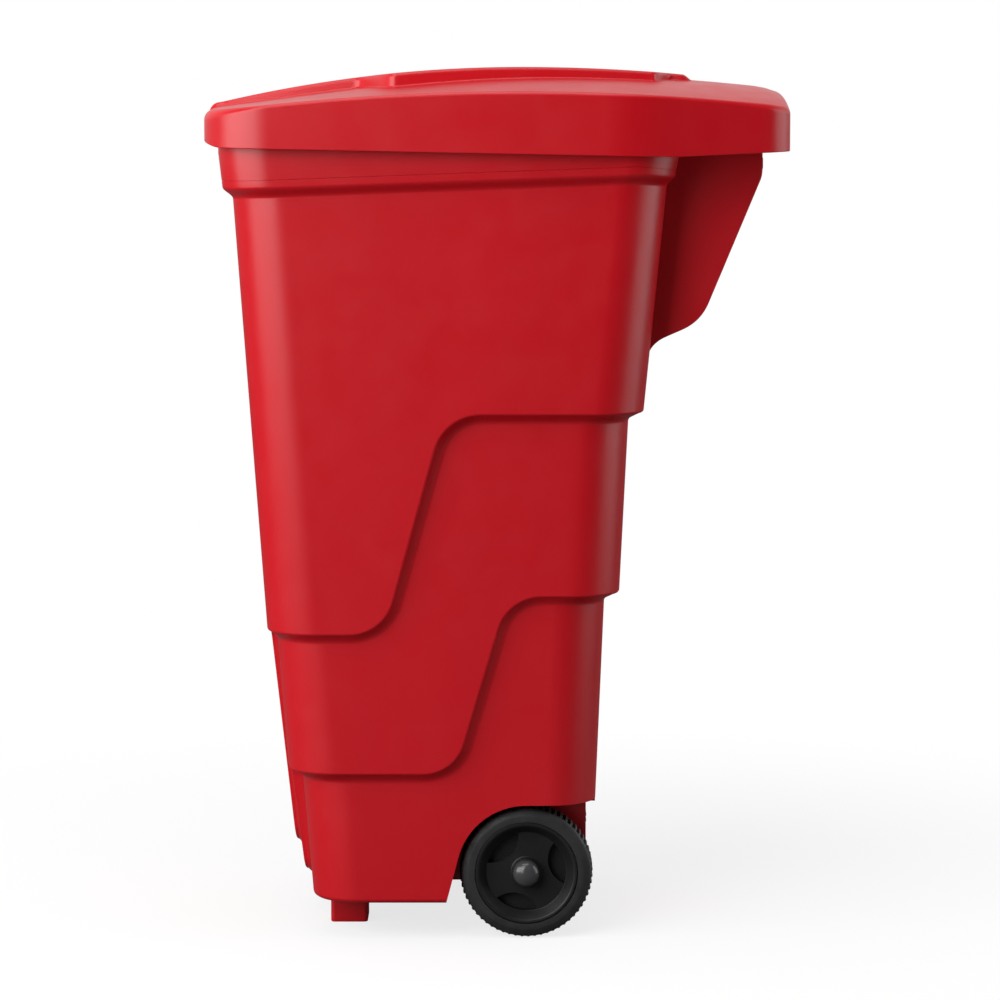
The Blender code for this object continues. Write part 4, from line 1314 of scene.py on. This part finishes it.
    def edge_ring(self, tier: Tier, edge: SweptEdge, inset: float, fall: float) -> Ring:
        """Return a ring along a swept edge, laid on a tier's faces.

        Args:
            tier: The tier whose faces carry the ring.
            edge: The swept edge that it follows.
            inset: How far it lies inside the faces.
            fall: How far it lies below the edge, square to it.

        Returns:
            The ring's points.
        """
        radius = self.corner - inset
        low_z, high_z = edge.front_z - fall, edge.rear_z - fall
        half = []
        for spot, way in self.front_line(edge, tier.side_x(low_z, inset) - radius):
            x, z = spot + Vector((way.y, -way.x)) * fall
            half.append((x, tier.front_y(z, inset), z))
        half += self.corner_points(tier, low_z, inset, front=True)
        ends = tier.front_y(low_z, inset) + radius, tier.rear_y(high_z, inset) - radius
        for spot, way in self.side_line(edge, *ends)[1:]:
            y, z = spot + Vector((way.y, -way.x)) * fall
            half.append((tier.side_x(z, inset), y, z))
        half += self.corner_points(tier, high_z, inset, front=False)
        return mirrored(half + self.rear_points(half[-1]))

    def level_ring(self, tier: Tier, height: HeightRule, inset: float, edge: SweptEdge) -> Ring:
        """Return a ring round a tier at a ruled height, with its points over a swept edge.

        Args:
            tier: The tier whose faces carry the ring.
            height: The height at a place in plan.
            inset: How far it lies inside the faces.
            edge: The swept edge that its points stand over.

        Returns:
            The ring's points.
        """
        radius, z = self.corner - inset, tier.z
        side, front = tier.side_x(z, inset), tier.front_y(z, inset)
        half = [(spot.x, front) for spot, way in self.front_line(edge, side - radius)]
        half += [point[:2] for point in self.corner_points(tier, z, inset, front=True)]
        ends = front + radius, tier.rear_y(z, inset) - radius
        half += [(side, spot.x) for spot, way in self.side_line(edge, *ends)[1:]]
        half += [point[:2] for point in self.corner_points(tier, z, inset, front=False)]
        half += self.rear_points(half[-1])
        rough = [tier.stretch(x, y, height(x, y), inset) for x, y in half]
        heights = [height(x, y) for x, y, z in rough]
        return mirrored([tier.stretch(x, y, z, inset) for (x, y), z in zip(half, heights)])

    def seam_z(self, y: float) -> float:
        """Return the height of the seam round the rim, which dips again at the rear corners."""
        fall = self.seam_fall * smooth_rise((y - self.seam_fall_y) / self.seam_fall_length)
        return self.seam_front_z + (y - self.seam_front_y) * self.seam_rise - fall

    def below_seam(self, drop: float) -> HeightRule:
        """Return a rule for heights at a drop below the seam."""
        return lambda x, y: self.seam_z(y) - drop

    def below_lid(self, drop: float) -> HeightRule:
        """Return a rule for heights at a drop below the rim, which carries the closed lid."""
        gap = self.lid.wall + self.seat_gap + drop
        return lambda x, y: self.lid.crown_z(x, y) - gap

    def step_rings(self, upper: Tier, lower: Tier, edge: SweptEdge, inset: float) -> list[Ring]:
        """Return the rings of one overlapping step, with a rounded lip and a soft root.

        Args:
            upper: The tier above, which overlaps.
            lower: The tier below.
            edge: The lower edge of the tier above.
            inset: How far the rings lie inside the faces.

        Returns:
            The rings, from the upper face to the lower one.
        """
        lip, root, shift = self.lip_round, self.root_round, -inset
        rings = []
        for turn in quarter(self.lip_steps):
            fall = shift - lip * (1.0 - math.sin(turn))
            rings.append(self.edge_ring(upper, edge, inset + lip * (1.0 - math.cos(turn)), fall))
        first = rings[-1]
        last = self.edge_ring(lower, edge, inset, shift + self.step_fall)
        rings += [lerp_ring(first, last, share) for share in self.ledge_shares]
        for share, fall in self.root_shares:
            ring = self.edge_ring(lower, edge, inset, shift + self.step_fall + root * fall)
            rings.append(lerp_ring(first, ring, share))
        return rings

    def bead_rings(self, inset: float) -> list[Ring]:
        """Return the rings of the rounded bead under the seam.

        Args:
            inset: How far they lie inside the faces.

        Returns:
            The rings, from the band down to the top tier.
        """
        rings = []
        for index in range(self.bead_steps + 1):
            share = index / self.bead_steps
            drop = self.bead_drop + (self.bead_root_drop - self.bead_drop) * share - inset
            outer, inner = (self.level_ring(tier, self.below_seam(drop), inset, self.top_edge)
                            for tier in (self.band, self.top))
            rings.append(lerp_ring(outer, inner, smooth_rise(share)))
        return rings

    def seam_rings(self) -> list[Ring]:
        """Return the rings of the fine parting groove round the rim.

        Returns:
            The rings, from the top down.
        """
        half, rings = self.seam_gap / 2, []
        for place, share in self.seam_rows:
            rule = self.below_seam(place * half)
            rings.append(self.level_ring(self.band, rule, share * self.seam_depth, self.top_edge))
        return rings

    def bottom_rings(self, floor: float, inset: float, steps: int) -> list[Ring]:
        """Return the rings of the round where the base's faces meet its floor.

        Args:
            floor: The floor's height.
            inset: How far they lie inside the faces.
            steps: How many steps the round has.

        Returns:
            The rings, from the top down.
        """
        rings, radius = [], self.bottom_round
        for turn in quarter(steps):
            z = floor + radius * (1.0 - math.sin(turn))
            drawn = inset + radius * (1.0 - math.cos(turn))
            rings.append(self.level_ring(self.base, lambda x, y, z=z: z, drawn, self.middle_edge))
        return rings

    def outside(self) -> tuple[list, list]:
        """Return the body's outer form, filled.

        Returns:
            The vertices and the faces.
        """
        band, edge, radius = self.band, self.top_edge, self.rim_round
        rings = [self.level_ring(band, self.below_lid(0.0), self.rim_width, edge)]
        for turn in quarter(self.rim_steps):
            drop, inset = radius * (1.0 - math.cos(turn)), radius * (1.0 - math.sin(turn))
            rings.append(self.level_ring(band, self.below_lid(drop), inset, edge))
        rings.append(self.level_ring(band, lambda x, y: band.bend_z, 0.0, edge))
        rings += self.seam_rings() + self.bead_rings(0.0)
        rings += self.step_rings(self.top, self.middle, edge, 0.0)
        rings += self.step_rings(self.middle, self.base, self.middle_edge, 0.0)
        rings += self.bottom_rings(self.underside_z, 0.0, self.bottom_steps)
        return stack(rings, (0.0, self.rim_centre_y, self.below_lid(0.0)(0.0, self.rim_centre_y)))

    def inside(self) -> tuple[list, list]:
        """Return the space inside the body, taller than the rim.

        Returns:
            The vertices and the faces.
        """
        wall, over = self.wall, self.below_lid(-self.headroom)
        rings = [self.level_ring(self.band, over, wall, self.top_edge)] + self.bead_rings(wall)
        rings += self.step_rings(self.top, self.middle, self.top_edge, wall)
        rings += self.step_rings(self.middle, self.base, self.middle_edge, wall)
        rings += self.bottom_rings(self.underside_z + wall, wall, self.floor_steps)
        return stack(rings, (0.0, self.rim_centre_y, over(0.0, self.rim_centre_y)))

    def well_outline(self, grow: float) -> list[Flat]:
        """Return the (y, z) outline of a wheel well, grown by a wall.

        Args:
            grow: How far it is grown.

        Returns:
            The outline's points.
        """
        radius = self.well_radius + grow
        foot = Vector((self.well_front_y - grow - self.axle_y, self.underside_z - self.axle_z))
        touch = math.atan2(foot.y, foot.x) % (2 * math.pi) - math.acos(radius / foot.length)
        front, centre = self.axle_y + foot.x, (self.axle_y, self.axle_z)
        outline = [(front, -self.reach), (front, self.underside_z)]
        outline += arc(centre, radius, touch, math.pi / 2, self.well_steps)
        return outline + [(self.reach, self.axle_z + radius), (self.reach, -self.reach)]

    def under_tools(self, grow: float) -> list[bpy.types.Object]:
        """Return the solids that shape the underside, grown by a wall.

        Args:
            grow: How far they are grown.

        Returns:
            The solids to cut out: two wells, the rear undercut and the axle tunnel.
        """
        inner_x, far = self.well_inner_x - grow, self.reach
        rear = self.base.rear_y(self.undercut_top_z, self.undercut_depth) - grow
        roof = self.tunnel_roof_z + grow if grow else self.tunnel_underside_z
        across, front = self.well_inner_x + self.sink, self.well_front_y - grow
        top = self.undercut_top_z + grow
        well = self.well_outline(grow)
        return [
            make_piece("well_right", *prism(well, inner_x, far)),
            make_piece("well_left", *prism(well, -far, -inner_x)),
            make_piece("rear_undercut", *box((-across, rear, -far), (across, far, top))),
            make_piece("tunnel", *box((-across, front, -far), (across, far, roof))),
        ]

    def gusset_outline(self) -> tuple[list[Flat], list[float]]:
        """Return the (y, z) outline of a plate that carries the handle.

        The plate runs out into the rear wall, where its rounded edges fade away.

        Returns:
            The outline's points, and how much each one is rounded.
        """
        grip, sink, tier = self.handle, self.sink, self.top
        low, high = grip.top_z + grip.gusset_lip_front, grip.top_z + grip.gusset_lip_rear
        rear = grip.rear_y - self.fit
        shoulder = (rear, grip.top_z - grip.shoulder_drop)
        toe = (grip.rear_y - grip.toe_inset, grip.top_z - grip.toe_drop)
        root_z = grip.top_z - grip.root_drop
        end_z = root_z - grip.root_round
        root, end = (tier.rear_y(root_z, sink), root_z), (tier.rear_y(end_z, sink), end_z)
        seam = self.seam_z(self.band.rear)
        outline = [(self.band.rear_y(low, sink), low), (rear, high)]
        outline += bend((rear, high), shoulder, toe, grip.shoulder_round)
        outline += bend(shoulder, toe, root, grip.toe_round)
        outline += bend(toe, root, end, grip.root_round)
        fade = grip.fade_rounds * grip.gusset_round
        shares = [min(max((y - tier.rear_y(z, sink)) / fade, 0.0), 1.0) for y, z in outline]
        for index in range(self.gusset_steps + 1):
            share = 1.0 - index / self.gusset_steps
            z = seam - self.bead_drop - (self.bead_root_drop - self.bead_drop) * share
            outer, inner = self.band.rear_y(z, sink), tier.rear_y(z, sink)
            outline.append((outer + (inner - outer) * smooth_rise(share), z))
        return outline, [0.0, *shares[1:]] + [0.0] * (self.gusset_steps + 1)

    def handle_pieces(self) -> list[bpy.types.Object]:
        """Return the solids of the gussets, the shelf and the rail.

        Returns:
            One solid, in a list.
        """
        grip = self.handle
        outline, shares = self.gusset_outline()
        pieces = []
        for side in Side:
            outer = side.value * grip.gusset_x
            inner = side.value * (grip.gusset_x - grip.gusset_thickness)
            plate = soft_prism(outline, inner, outer, grip.gusset_round, shares)
            pieces.append(make_piece("gusset", *plate))
        front, low = self.band.rear_y(grip.top_z, self.sink), grip.top_z - grip.shelf_thickness
        lip_low, lip_front = grip.top_z - grip.lip_height, grip.rear_y - grip.lip_thickness
        half, edge = grip.lip_thickness / 2, grip.top_round
        edge_y, edge_z = grip.rear_y - edge, grip.top_z - edge
        profile = [(front, grip.top_z), (edge_y, grip.top_z)]
        profile += arc((edge_y, edge_z), edge, math.pi / 2, 0.0, steps=4)
        profile.append((grip.rear_y, lip_low + half))
        profile += arc((lip_front + half, lip_low + half), half, 0.0, -math.pi, steps=10)
        profile += [(lip_front, low), (front, low)]
        across = grip.gusset_x + self.fit
        shelf = make_piece("shelf", *prism(profile, -across, across))
        combine(shelf, pieces, Join.ADD)
        return [shelf]

    def moulded_on(self) -> list[bpy.types.Object]:
        """Return every other solid that is moulded onto the body.

        Returns:
            The hinge ears, axle bosses, tunnel ribs and feet of both sides.
        """
        hinge, pieces = self.hinge, []
        ear = hinge.eye_outline(self.handle.top_z - self.sink, above=False)
        gap = hinge.knuckle_width / 2 + hinge.fit
        boss = circle(self.boss_radius, self.axle_y, self.axle_z, self.bore_sides)
        tunnel_rear = self.base.rear_y(self.undercut_top_z, self.undercut_depth) - self.sink
        rib_low = self.well_front_y + self.sink, self.tunnel_underside_z + self.sink
        rib_high = tunnel_rear, self.tunnel_roof_z + self.sink
        for side in Side:
            sign = side.value
            for start in (hinge.x - gap - hinge.ear_width, hinge.x + gap):
                ends = sorted((sign * start, sign * (start + hinge.ear_width)))
                pieces.append(make_piece("ear", *soft_prism(ear, *ends, hinge.ear_round)))
            ends = sorted((sign * self.boss_inner_x, sign * self.boss_face_x))
            pieces.append(make_piece("boss", *prism(boss, *ends)))
            ends = sorted((sign * self.rib_x, sign * (self.rib_x + self.wall)))
            pieces.append(make_piece("rib", *box((ends[0], *rib_low), (ends[1], *rib_high))))
            pieces.append(self.foot(sign * self.foot_x))
        return pieces

    def foot(self, x: float) -> bpy.types.Object:
        """Return one front foot with rounded upright edges.

        Args:
            x: The place of its middle across the body.

        Returns:
            The foot's object.
        """
        half_x, half_y, radius = self.foot_width / 2, self.foot_length / 2, self.foot_round
        step = math.pi / 2 / self.foot_steps
        plan = []
        for corner, (sx, sy) in enumerate(((1, 1), (-1, 1), (-1, -1), (1, -1))):
            centre = (x + sx * (half_x - radius), self.foot_y + sy * (half_y - radius))
            start = math.pi / 2 * corner
            plan += arc(centre, radius, start - step, start + math.pi / 2, self.foot_steps + 1)
        rings = []
        for z, inset in (*self.foot_hem, (self.underside_z + self.sink, 0.0)):
            rings.append([(px, py, z) for px, py in inset_outline(plan, inset)])
        return make_piece("foot", *stack(rings))

    def build(self) -> bpy.types.Object:
        """Return the body as one closed solid.

        Returns:
            The body's object.
        """
        body = make_piece("body_shell", *self.outside())
        half = self.well_inner_x - self.wall
        rear = self.base.rear_y(self.undercut_top_z, self.undercut_depth) - self.wall
        low = (-half, self.well_front_y + self.wall, -self.reach)
        pocket = make_piece("axle_pocket", *box(low, (half, rear, self.tunnel_roof_z)))
        combine(body, self.under_tools(0.0) + [pocket], Join.CUT)
        space = make_piece("space", *self.inside())
        combine(space, self.under_tools(self.wall), Join.CUT)
        combine(body, [space], Join.CUT)
        combine(body, self.handle_pieces() + self.moulded_on(), Join.ADD)
        bore = circle(self.axle_radius + self.fit, self.axle_y, self.axle_z, self.bore_sides)
        end = self.boss_face_x + self.sink
        bores = [make_piece("axle_bore", *prism(bore, -end, end))]
        bores += self.hinge.bores(self.hinge.knuckle_width + self.hinge.ear_overrun)
        combine(body, bores, Join.CUT)
        return finish_surface(body)


# Wheels

@dataclass
class Wheel:
    """One wheel: lugged tyre, dished hub with lens-shaped pockets, washer and domed cap."""

    side: Side
    radius: float = 0.0689
    width: float = 0.043
    inner_x: float = 0.1276
    axle_y: float = 0.030
    axle_radius: float = 0.006
    lugs: int = 64
    tread_depth: float = 0.0032
    bore: float = 0.0535
    shoulder: float = 0.0605
    rib_radius: float = 0.0671
    rib_width: float = 0.0066
    rim_width: float = 0.0075
    rim_edge: float = 0.0494
    dish_radius: float = 0.0412
    dish_depth: float = 0.009
    boss_radius: float = 0.0148
    pocket_depth: float = 0.010
    pocket_distance: float = 0.052
    pocket_radius: float = 0.028
    pocket_angle: float = math.radians(14.5)
    cap_radius: float = 0.0135
    cap_height: float = 0.011
    cap_brim: float = 0.002
    washer_radius: float = 0.0125
    washer_thickness: float = 0.0015
    fit: float = 0.0003
    sides: int = 128
    small_sides: int = 64
    # Points of one lug: a share of the pitch and a share of the height.
    lug_profile: tuple[Flat, ...] = (
        (0.0, 0.0), (0.06, 0.12), (0.13, 0.9), (0.18, 1.0),
        (0.46, 1.0), (0.51, 0.9), (0.58, 0.12), (0.64, 0.0))
    bead_height: float = 0.0015
    bead_chamfer: float = 0.0006
    # Shares of the rib's width and height where its flank bends, and where its crest is level.
    rib_flank: Flat = (0.3, 0.65)
    rib_crest: Flat = (0.5, 0.7)
    rib_edge: float = 0.0007
    # Places of a lug's sloping end, in rib widths, and its share of the height at the first.
    lug_ramp: Point = (1.12, 1.3, 1.55)
    lug_root: float = 0.3
    lug_edge: float = 0.0005
    hub_edge: float = 0.001
    hub_edge_share: float = 0.3
    boss_draft: float = 0.0006
    boss_fillet: float = 0.002
    # Fine, middle and wide offsets of the rounds at the dish's edge and the rim's edge.
    hub_rounds: Point = (0.0004, 0.0008, 0.0012)
    rim_draft: float = 0.0025
    pocket_overrun: float = 0.002
    pocket_count: int = 3
    pocket_steps: int = 24
    washer_edge: float = 0.0003
    cap_tip: float = 0.0001
    cap_steps: int = 16

    @property
    def outer_x(self) -> float:
        """Return how far out the wheel reaches."""
        return self.inner_x + self.width

    def signed(self, points: Iterable[Point]) -> Ring:
        """Return points of the right wheel on this wheel's side."""
        return [(self.side.value * x, y, z) for x, y, z in points]

    def spun(self, name: str, profile: Sequence[Flat], sides: int) -> bpy.types.Object:
        """Return a piece turned about the axle from a closed (x, radius) outline."""
        vertices, faces = turned(profile, self.axle_y, self.radius, sides)
        return make_piece(f"{name}_{self.side.word}_turned", self.signed(vertices), faces)

    def lug_ring(self, x: float, base: float, top: float) -> Ring:
        """Return a ring of tread lugs.

        Args:
            x: The ring's place along the axle.
            base: Radius between the lugs.
            top: Radius on the lugs.

        Returns:
            The ring's points, eight to a lug.
        """
        pitch, ring = 2 * math.pi / self.lugs, []
        for lug in range(self.lugs):
            for share, height in self.lug_profile:
                turn, radius = (lug + share) * pitch, base + (top - base) * height
                y, z = self.axle_y + radius * math.cos(turn), self.radius + radius * math.sin(turn)
                ring.append((x, y, z))
        return ring

    def build_tyre(self) -> bpy.types.Object:
        """Return the tyre, with cross lugs between two smooth ribs.

        Returns:
            The tyre's object.
        """
        base, rim, rib = self.radius - self.tread_depth, self.shoulder, self.rib_radius
        wide, lug = self.rib_width, self.radius
        (out, up), (start, level), ramp = self.rib_flank, self.rib_crest, self.lug_ramp
        plain = [(0.0, self.bore), (0.0, rim - self.bead_height), (self.bead_chamfer, rim),
                 (out * wide, rim + up * (rib - rim)), (start * wide, rib - self.rib_edge),
                 (level * wide, rib), (wide, rib)]
        near = [(x, radius, radius) for x, radius in plain]
        near += [(ramp[0] * wide, base, rib + self.lug_root * (lug - rib)),
                 (ramp[1] * wide, base, lug - self.lug_edge), (ramp[2] * wide, base, lug)]
        rings = [self.lug_ring(self.inner_x + x, low, high) for x, low, high in near]
        rings += [self.lug_ring(self.outer_x - x, low, high) for x, low, high in reversed(near)]
        points = [point for ring in rings for point in ring]
        faces = ring_faces(len(rings[0]), len(rings), closed=True)
        tyre = make_piece(f"tyre_{self.side.word}_lugged", self.signed(points), faces)
        return finish_surface(tyre, TURNED_SHARP_ANGLE)

    def pocket_outline(self, angle: float) -> list[Flat]:
        """Return the (y, z) outline of a pocket between the dish's edge and an arc bulging inwards.

        Args:
            angle: The angle of the pocket's middle about the axle, in radians.

        Returns:
            The outline's points.
        """
        edge, far, curve = self.dish_radius, self.pocket_distance, self.pocket_radius
        reach = math.acos((edge ** 2 + far ** 2 - curve ** 2) / (2 * edge * far))
        bulge = math.asin(edge * math.sin(reach) / curve)
        turns = [2 * index / self.pocket_steps - 1 for index in range(self.pocket_steps)]
        points = [(edge * math.cos(reach * turn), edge * math.sin(reach * turn)) for turn in turns]
        for turn in turns:
            points.append((far - curve * math.cos(bulge * turn), -curve * math.sin(bulge * turn)))
        y, z, cos, sin = self.axle_y, self.radius, math.cos(angle), math.sin(angle)
        return [(y + out * cos - along * sin, z + out * sin + along * cos) for out, along in points]

    def build_hub(self) -> bpy.types.Object:
        """Return the dished hub with its pockets.

        Returns:
            The hub's object.
        """
        inner, outer = self.inner_x, self.outer_x
        dish_in, dish_out, dish = inner + self.dish_depth, outer - self.dish_depth, self.dish_radius
        rim_out, rim = self.bore - self.fit, self.rim_edge
        rim_in = rim_out - self.rim_width
        hole, boss, edge = self.axle_radius + self.fit, self.boss_radius, self.hub_edge
        bevel, (fine, soft, wide) = self.hub_edge_share * edge, self.hub_rounds
        profile = [
            (outer, hole), (outer, boss - edge), (outer - bevel, boss - bevel),
            (outer - edge, boss), (dish_out + edge, boss + self.boss_draft),
            (dish_out, boss + self.boss_fillet),
            (dish_out, dish), (dish_out + fine, dish + soft), (outer - wide, rim - soft),
            (outer - fine, rim), (outer, rim + wide), (outer, rim_out - edge),
            (outer - edge, rim_out), (inner + edge, rim_out), (inner, rim_out - edge),
            (inner, rim_in + self.rim_draft), (dish_in, rim_in), (dish_in, boss), (inner, boss),
            (inner, hole),
        ]
        hub = self.spun("wheel_hub", profile, self.sides)
        limits = dish_out - self.pocket_depth, outer + self.pocket_overrun
        ends = sorted(self.side.value * x for x in limits)
        pockets = []
        for index in range(self.pocket_count):
            angle = self.pocket_angle + 2 * math.pi * index / self.pocket_count
            pockets.append(make_piece("pocket", *prism(self.pocket_outline(angle), *ends)))
        combine(hub, pockets, Join.CUT)
        return finish_surface(hub, TURNED_SHARP_ANGLE)

    def build_washer(self) -> bpy.types.Object:
        """Return the flat washer between the axle boss and the hub.

        Returns:
            The washer's object.
        """
        end, rim, edge = self.inner_x - self.fit, self.washer_radius, self.washer_edge
        start, hole = end - self.washer_thickness, self.axle_radius + self.fit
        profile = [(start, hole), (start, rim - edge), (start + edge, rim),
                   (end - edge, rim), (end, rim - edge), (end, hole)]
        return finish_surface(self.spun("axle_washer", profile, self.small_sides))

    def build_cap(self) -> bpy.types.Object:
        """Return the domed push-on cap.

        Returns:
            The cap's object.
        """
        seat, hole, tip = self.outer_x + self.fit, self.axle_radius + self.fit, self.cap_tip
        bore_end = self.outer_x + self.cap_height / 2 + self.fit
        profile = [(bore_end, tip), (bore_end, hole), (seat, hole), (seat, self.cap_radius),
                   (seat + self.cap_brim, self.cap_radius)]
        for turn in quarter(self.cap_steps)[1:-1]:
            rise = (self.cap_height - self.cap_brim) * math.sin(turn)
            profile.append((seat + self.cap_brim + rise, self.cap_radius * math.cos(turn)))
        profile.append((seat + self.cap_height, tip))
        rings = lathe(profile, self.axle_y, self.radius, self.small_sides)
        mesh = stack([self.signed(ring) for ring in rings])
        cap = make_piece(f"axle_cap_{self.side.word}_domed", *mesh)
        return finish_surface(cap, TURNED_SHARP_ANGLE)


@dataclass
class Axle:
    """The plain steel rod through both wheels."""

    y: float = 0.030
    z: float = 0.0689
    radius: float = 0.006
    half_length: float = 0.1761
    chamfer: float = 0.0008
    sides: int = 64

    def build(self) -> bpy.types.Object:
        """Return the axle with chamfered ends.

        Returns:
            The axle's object.
        """
        end, rim, edge = self.half_length, self.radius, self.chamfer
        profile = [(-end, rim - edge), (edge - end, rim), (end - edge, rim), (end, rim - edge)]
        rings = lathe(profile, self.y, self.z, self.sides)
        return finish_surface(make_piece("axle_rod", *stack(rings)))


# Studio

@dataclass(frozen=True)
class Lamp:
    """A soft lamp: where it hangs, the point that it faces, its width and height, its watts."""

    name: str
    place: Point
    aim: Point
    size: Flat
    power: float

    def hang(self) -> None:
        """Add the lamp to the scene."""
        data = bpy.data.lights.new(self.name, "AREA")
        data.shape = "RECTANGLE"
        data.size, data.size_y = self.size
        data.energy = self.power
        item = bpy.data.objects.new(self.name, data)
        item.location = self.place
        way = Vector(self.aim) - Vector(self.place)
        item.rotation_euler = way.to_track_quat("-Z", "Y").to_euler()
        bpy.context.scene.collection.objects.link(item)


@dataclass
class Studio:
    """The camera at the photograph's angle, a pale floor and soft lamps."""

    camera_place: Point = (4.1, 0.0027, 0.8903)
    camera_pitch: float = math.radians(6.283)
    lens: float = 138.96
    sensor: float = 36.0
    floor_size: float = 30.0
    floor_near: float = 0.40
    floor_far: float = 1.2
    floor_colour: float = 0.88
    floor_bounce: float = 0.12
    floor_glow: float = 0.76
    room_level: float = 0.03
    wall_level: float = 1.0
    wall_start: float = 0.25
    wall_full: float = -0.60
    floor_roughness: float = 0.9
    floor_specular: float = 0.1
    view_reach: float = 100.0
    lamps: tuple[Lamp, ...] = (
        Lamp("front_softbox", (1.55, -1.85, 1.15), (0.1, -0.2, 0.55), (2.95, 1.7), 78.0),
        Lamp("high_fill", (2.6, -1.2, 2.8), (0.1, 0.0, 0.5), (1.5, 1.5), 26.0),
        Lamp("rear_panel", (0.25, 2.38, 1.0), (0.1, 0.1, 0.5), (1.9, 2.0), 27.0),
        Lamp("top_softbox", (0.5, -0.2, 2.6), (0.0, 0.0, 0.6), (1.6, 1.6), 22.0),
    )

    def camera(self) -> None:
        """Place the camera."""
        data = bpy.data.cameras.new("camera")
        data.lens = self.lens
        data.sensor_width = self.sensor
        data.sensor_fit = "HORIZONTAL"
        data.clip_end = self.view_reach
        item = bpy.data.objects.new("camera", data)
        item.location = self.camera_place
        item.rotation_euler = (math.pi / 2 - self.camera_pitch, 0.0, math.pi / 2)
        bpy.context.scene.collection.objects.link(item)
        bpy.context.scene.camera = item

    def floor(self) -> None:
        """Lay a pale floor that fades into the white background."""
        half = self.floor_size / 2
        corners = [(-half, -half, 0.0), (half, -half, 0.0), (half, half, 0.0), (-half, half, 0.0)]
        item = make_piece("studio_floor", corners, [(0, 1, 2, 3)])
        sheet = FinishSheet("pale_floor")
        eye = sheet.add("LightPath", {}).outputs["Is Camera Ray"]
        shades = {"Factor": eye, "A": grey(self.floor_bounce), "B": grey(self.floor_colour)}
        sheet.feed(sheet.shader, {
            "Base Color": sheet.add("Mix", shades, data_type="RGBA").outputs["Result"],
            "Roughness": self.floor_roughness,
            "Specular IOR Level": self.floor_specular,
        })
        length = sheet.add("VectorMath", {0: sheet.place}, operation="LENGTH").outputs["Value"]
        fade = sheet.span(length, (self.floor_near, self.floor_far), (self.floor_glow, 1.0),
                          interpolation_type="SMOOTHSTEP")
        seen = sheet.add("Math", {0: fade, 1: eye}, operation="MULTIPLY").outputs["Value"]
        glow = sheet.add("Emission", {}).outputs["Emission"]
        mix = sheet.add("MixShader", {"Fac": seen, 1: sheet.shader.outputs["BSDF"], 2: glow})
        sheet.feed(sheet.tree.nodes["Material Output"], {"Surface": mix.outputs["Shader"]})
        item.data.materials.append(sheet.material)

    def world(self) -> None:
        """Give the eye a white background, and the bin a bright wall behind it in a dim room."""
        world = bpy.data.worlds.new("studio")
        bpy.context.scene.world = world
        sheet = NodeSheet(world)
        sheet.tree.nodes.clear()
        place = sheet.add("TexCoord", {}).outputs["Generated"]
        across = sheet.add("SeparateXYZ", {"Vector": place}).outputs["X"]
        wall = sheet.span(across, (self.wall_start, self.wall_full),
                          (self.room_level, self.wall_level), interpolation_type="SMOOTHSTEP")
        room = sheet.add("Background", {"Strength": wall}).outputs["Background"]
        white = sheet.add("Background", {"Color": grey(1.0)}).outputs["Background"]
        eye = sheet.add("LightPath", {}).outputs["Is Camera Ray"]
        mix = sheet.add("MixShader", {"Fac": eye, 1: room, 2: white})
        sheet.add("OutputWorld", {"Surface": mix.outputs["Shader"]})

    def build(self) -> None:
        """Set up the whole studio."""
        bpy.context.scene.view_settings.view_transform = "Standard"
        self.camera()
        self.floor()
        self.world()
        for lamp in self.lamps:
            lamp.hang()
        LOG.info("studio is set")


def build_bin() -> None:
    """Build and dress every piece of the bin."""
    red, black, grey = RED_PLASTIC.material(), BLACK_PLASTIC.material(), GREY_PLASTIC.material()
    rubber, steel = RUBBER.material(), STEEL.material()
    lid, hinge = Lid(), Hinge()
    settle(Body(lid, hinge).build(), "body", "body", red)
    settle(lid.build(hinge), "lid", "lid", red)
    settle(Axle().build(), "body", "axle", steel)
    for side in Side:
        wheel, body = Wheel(side), f"wheel_{side.word}"
        settle(wheel.build_tyre(), body, f"tyre_{side.word}", rubber)
        settle(wheel.build_hub(), body, f"wheel_hub_{side.word}", black)
        settle(wheel.build_washer(), "body", f"axle_washer_{side.word}", steel)
        settle(wheel.build_cap(), "body", f"axle_cap_{side.word}", grey)
        settle(hinge.build_pin(side), "body", f"hinge_pin_{side.word}", black)


def main() -> None:
    """Build the studio and the bin."""
    logging.basicConfig(level=logging.INFO, format="%(name)s: %(message)s")
    Studio().build()
    build_bin()


if __name__ == "__main__":
    main()
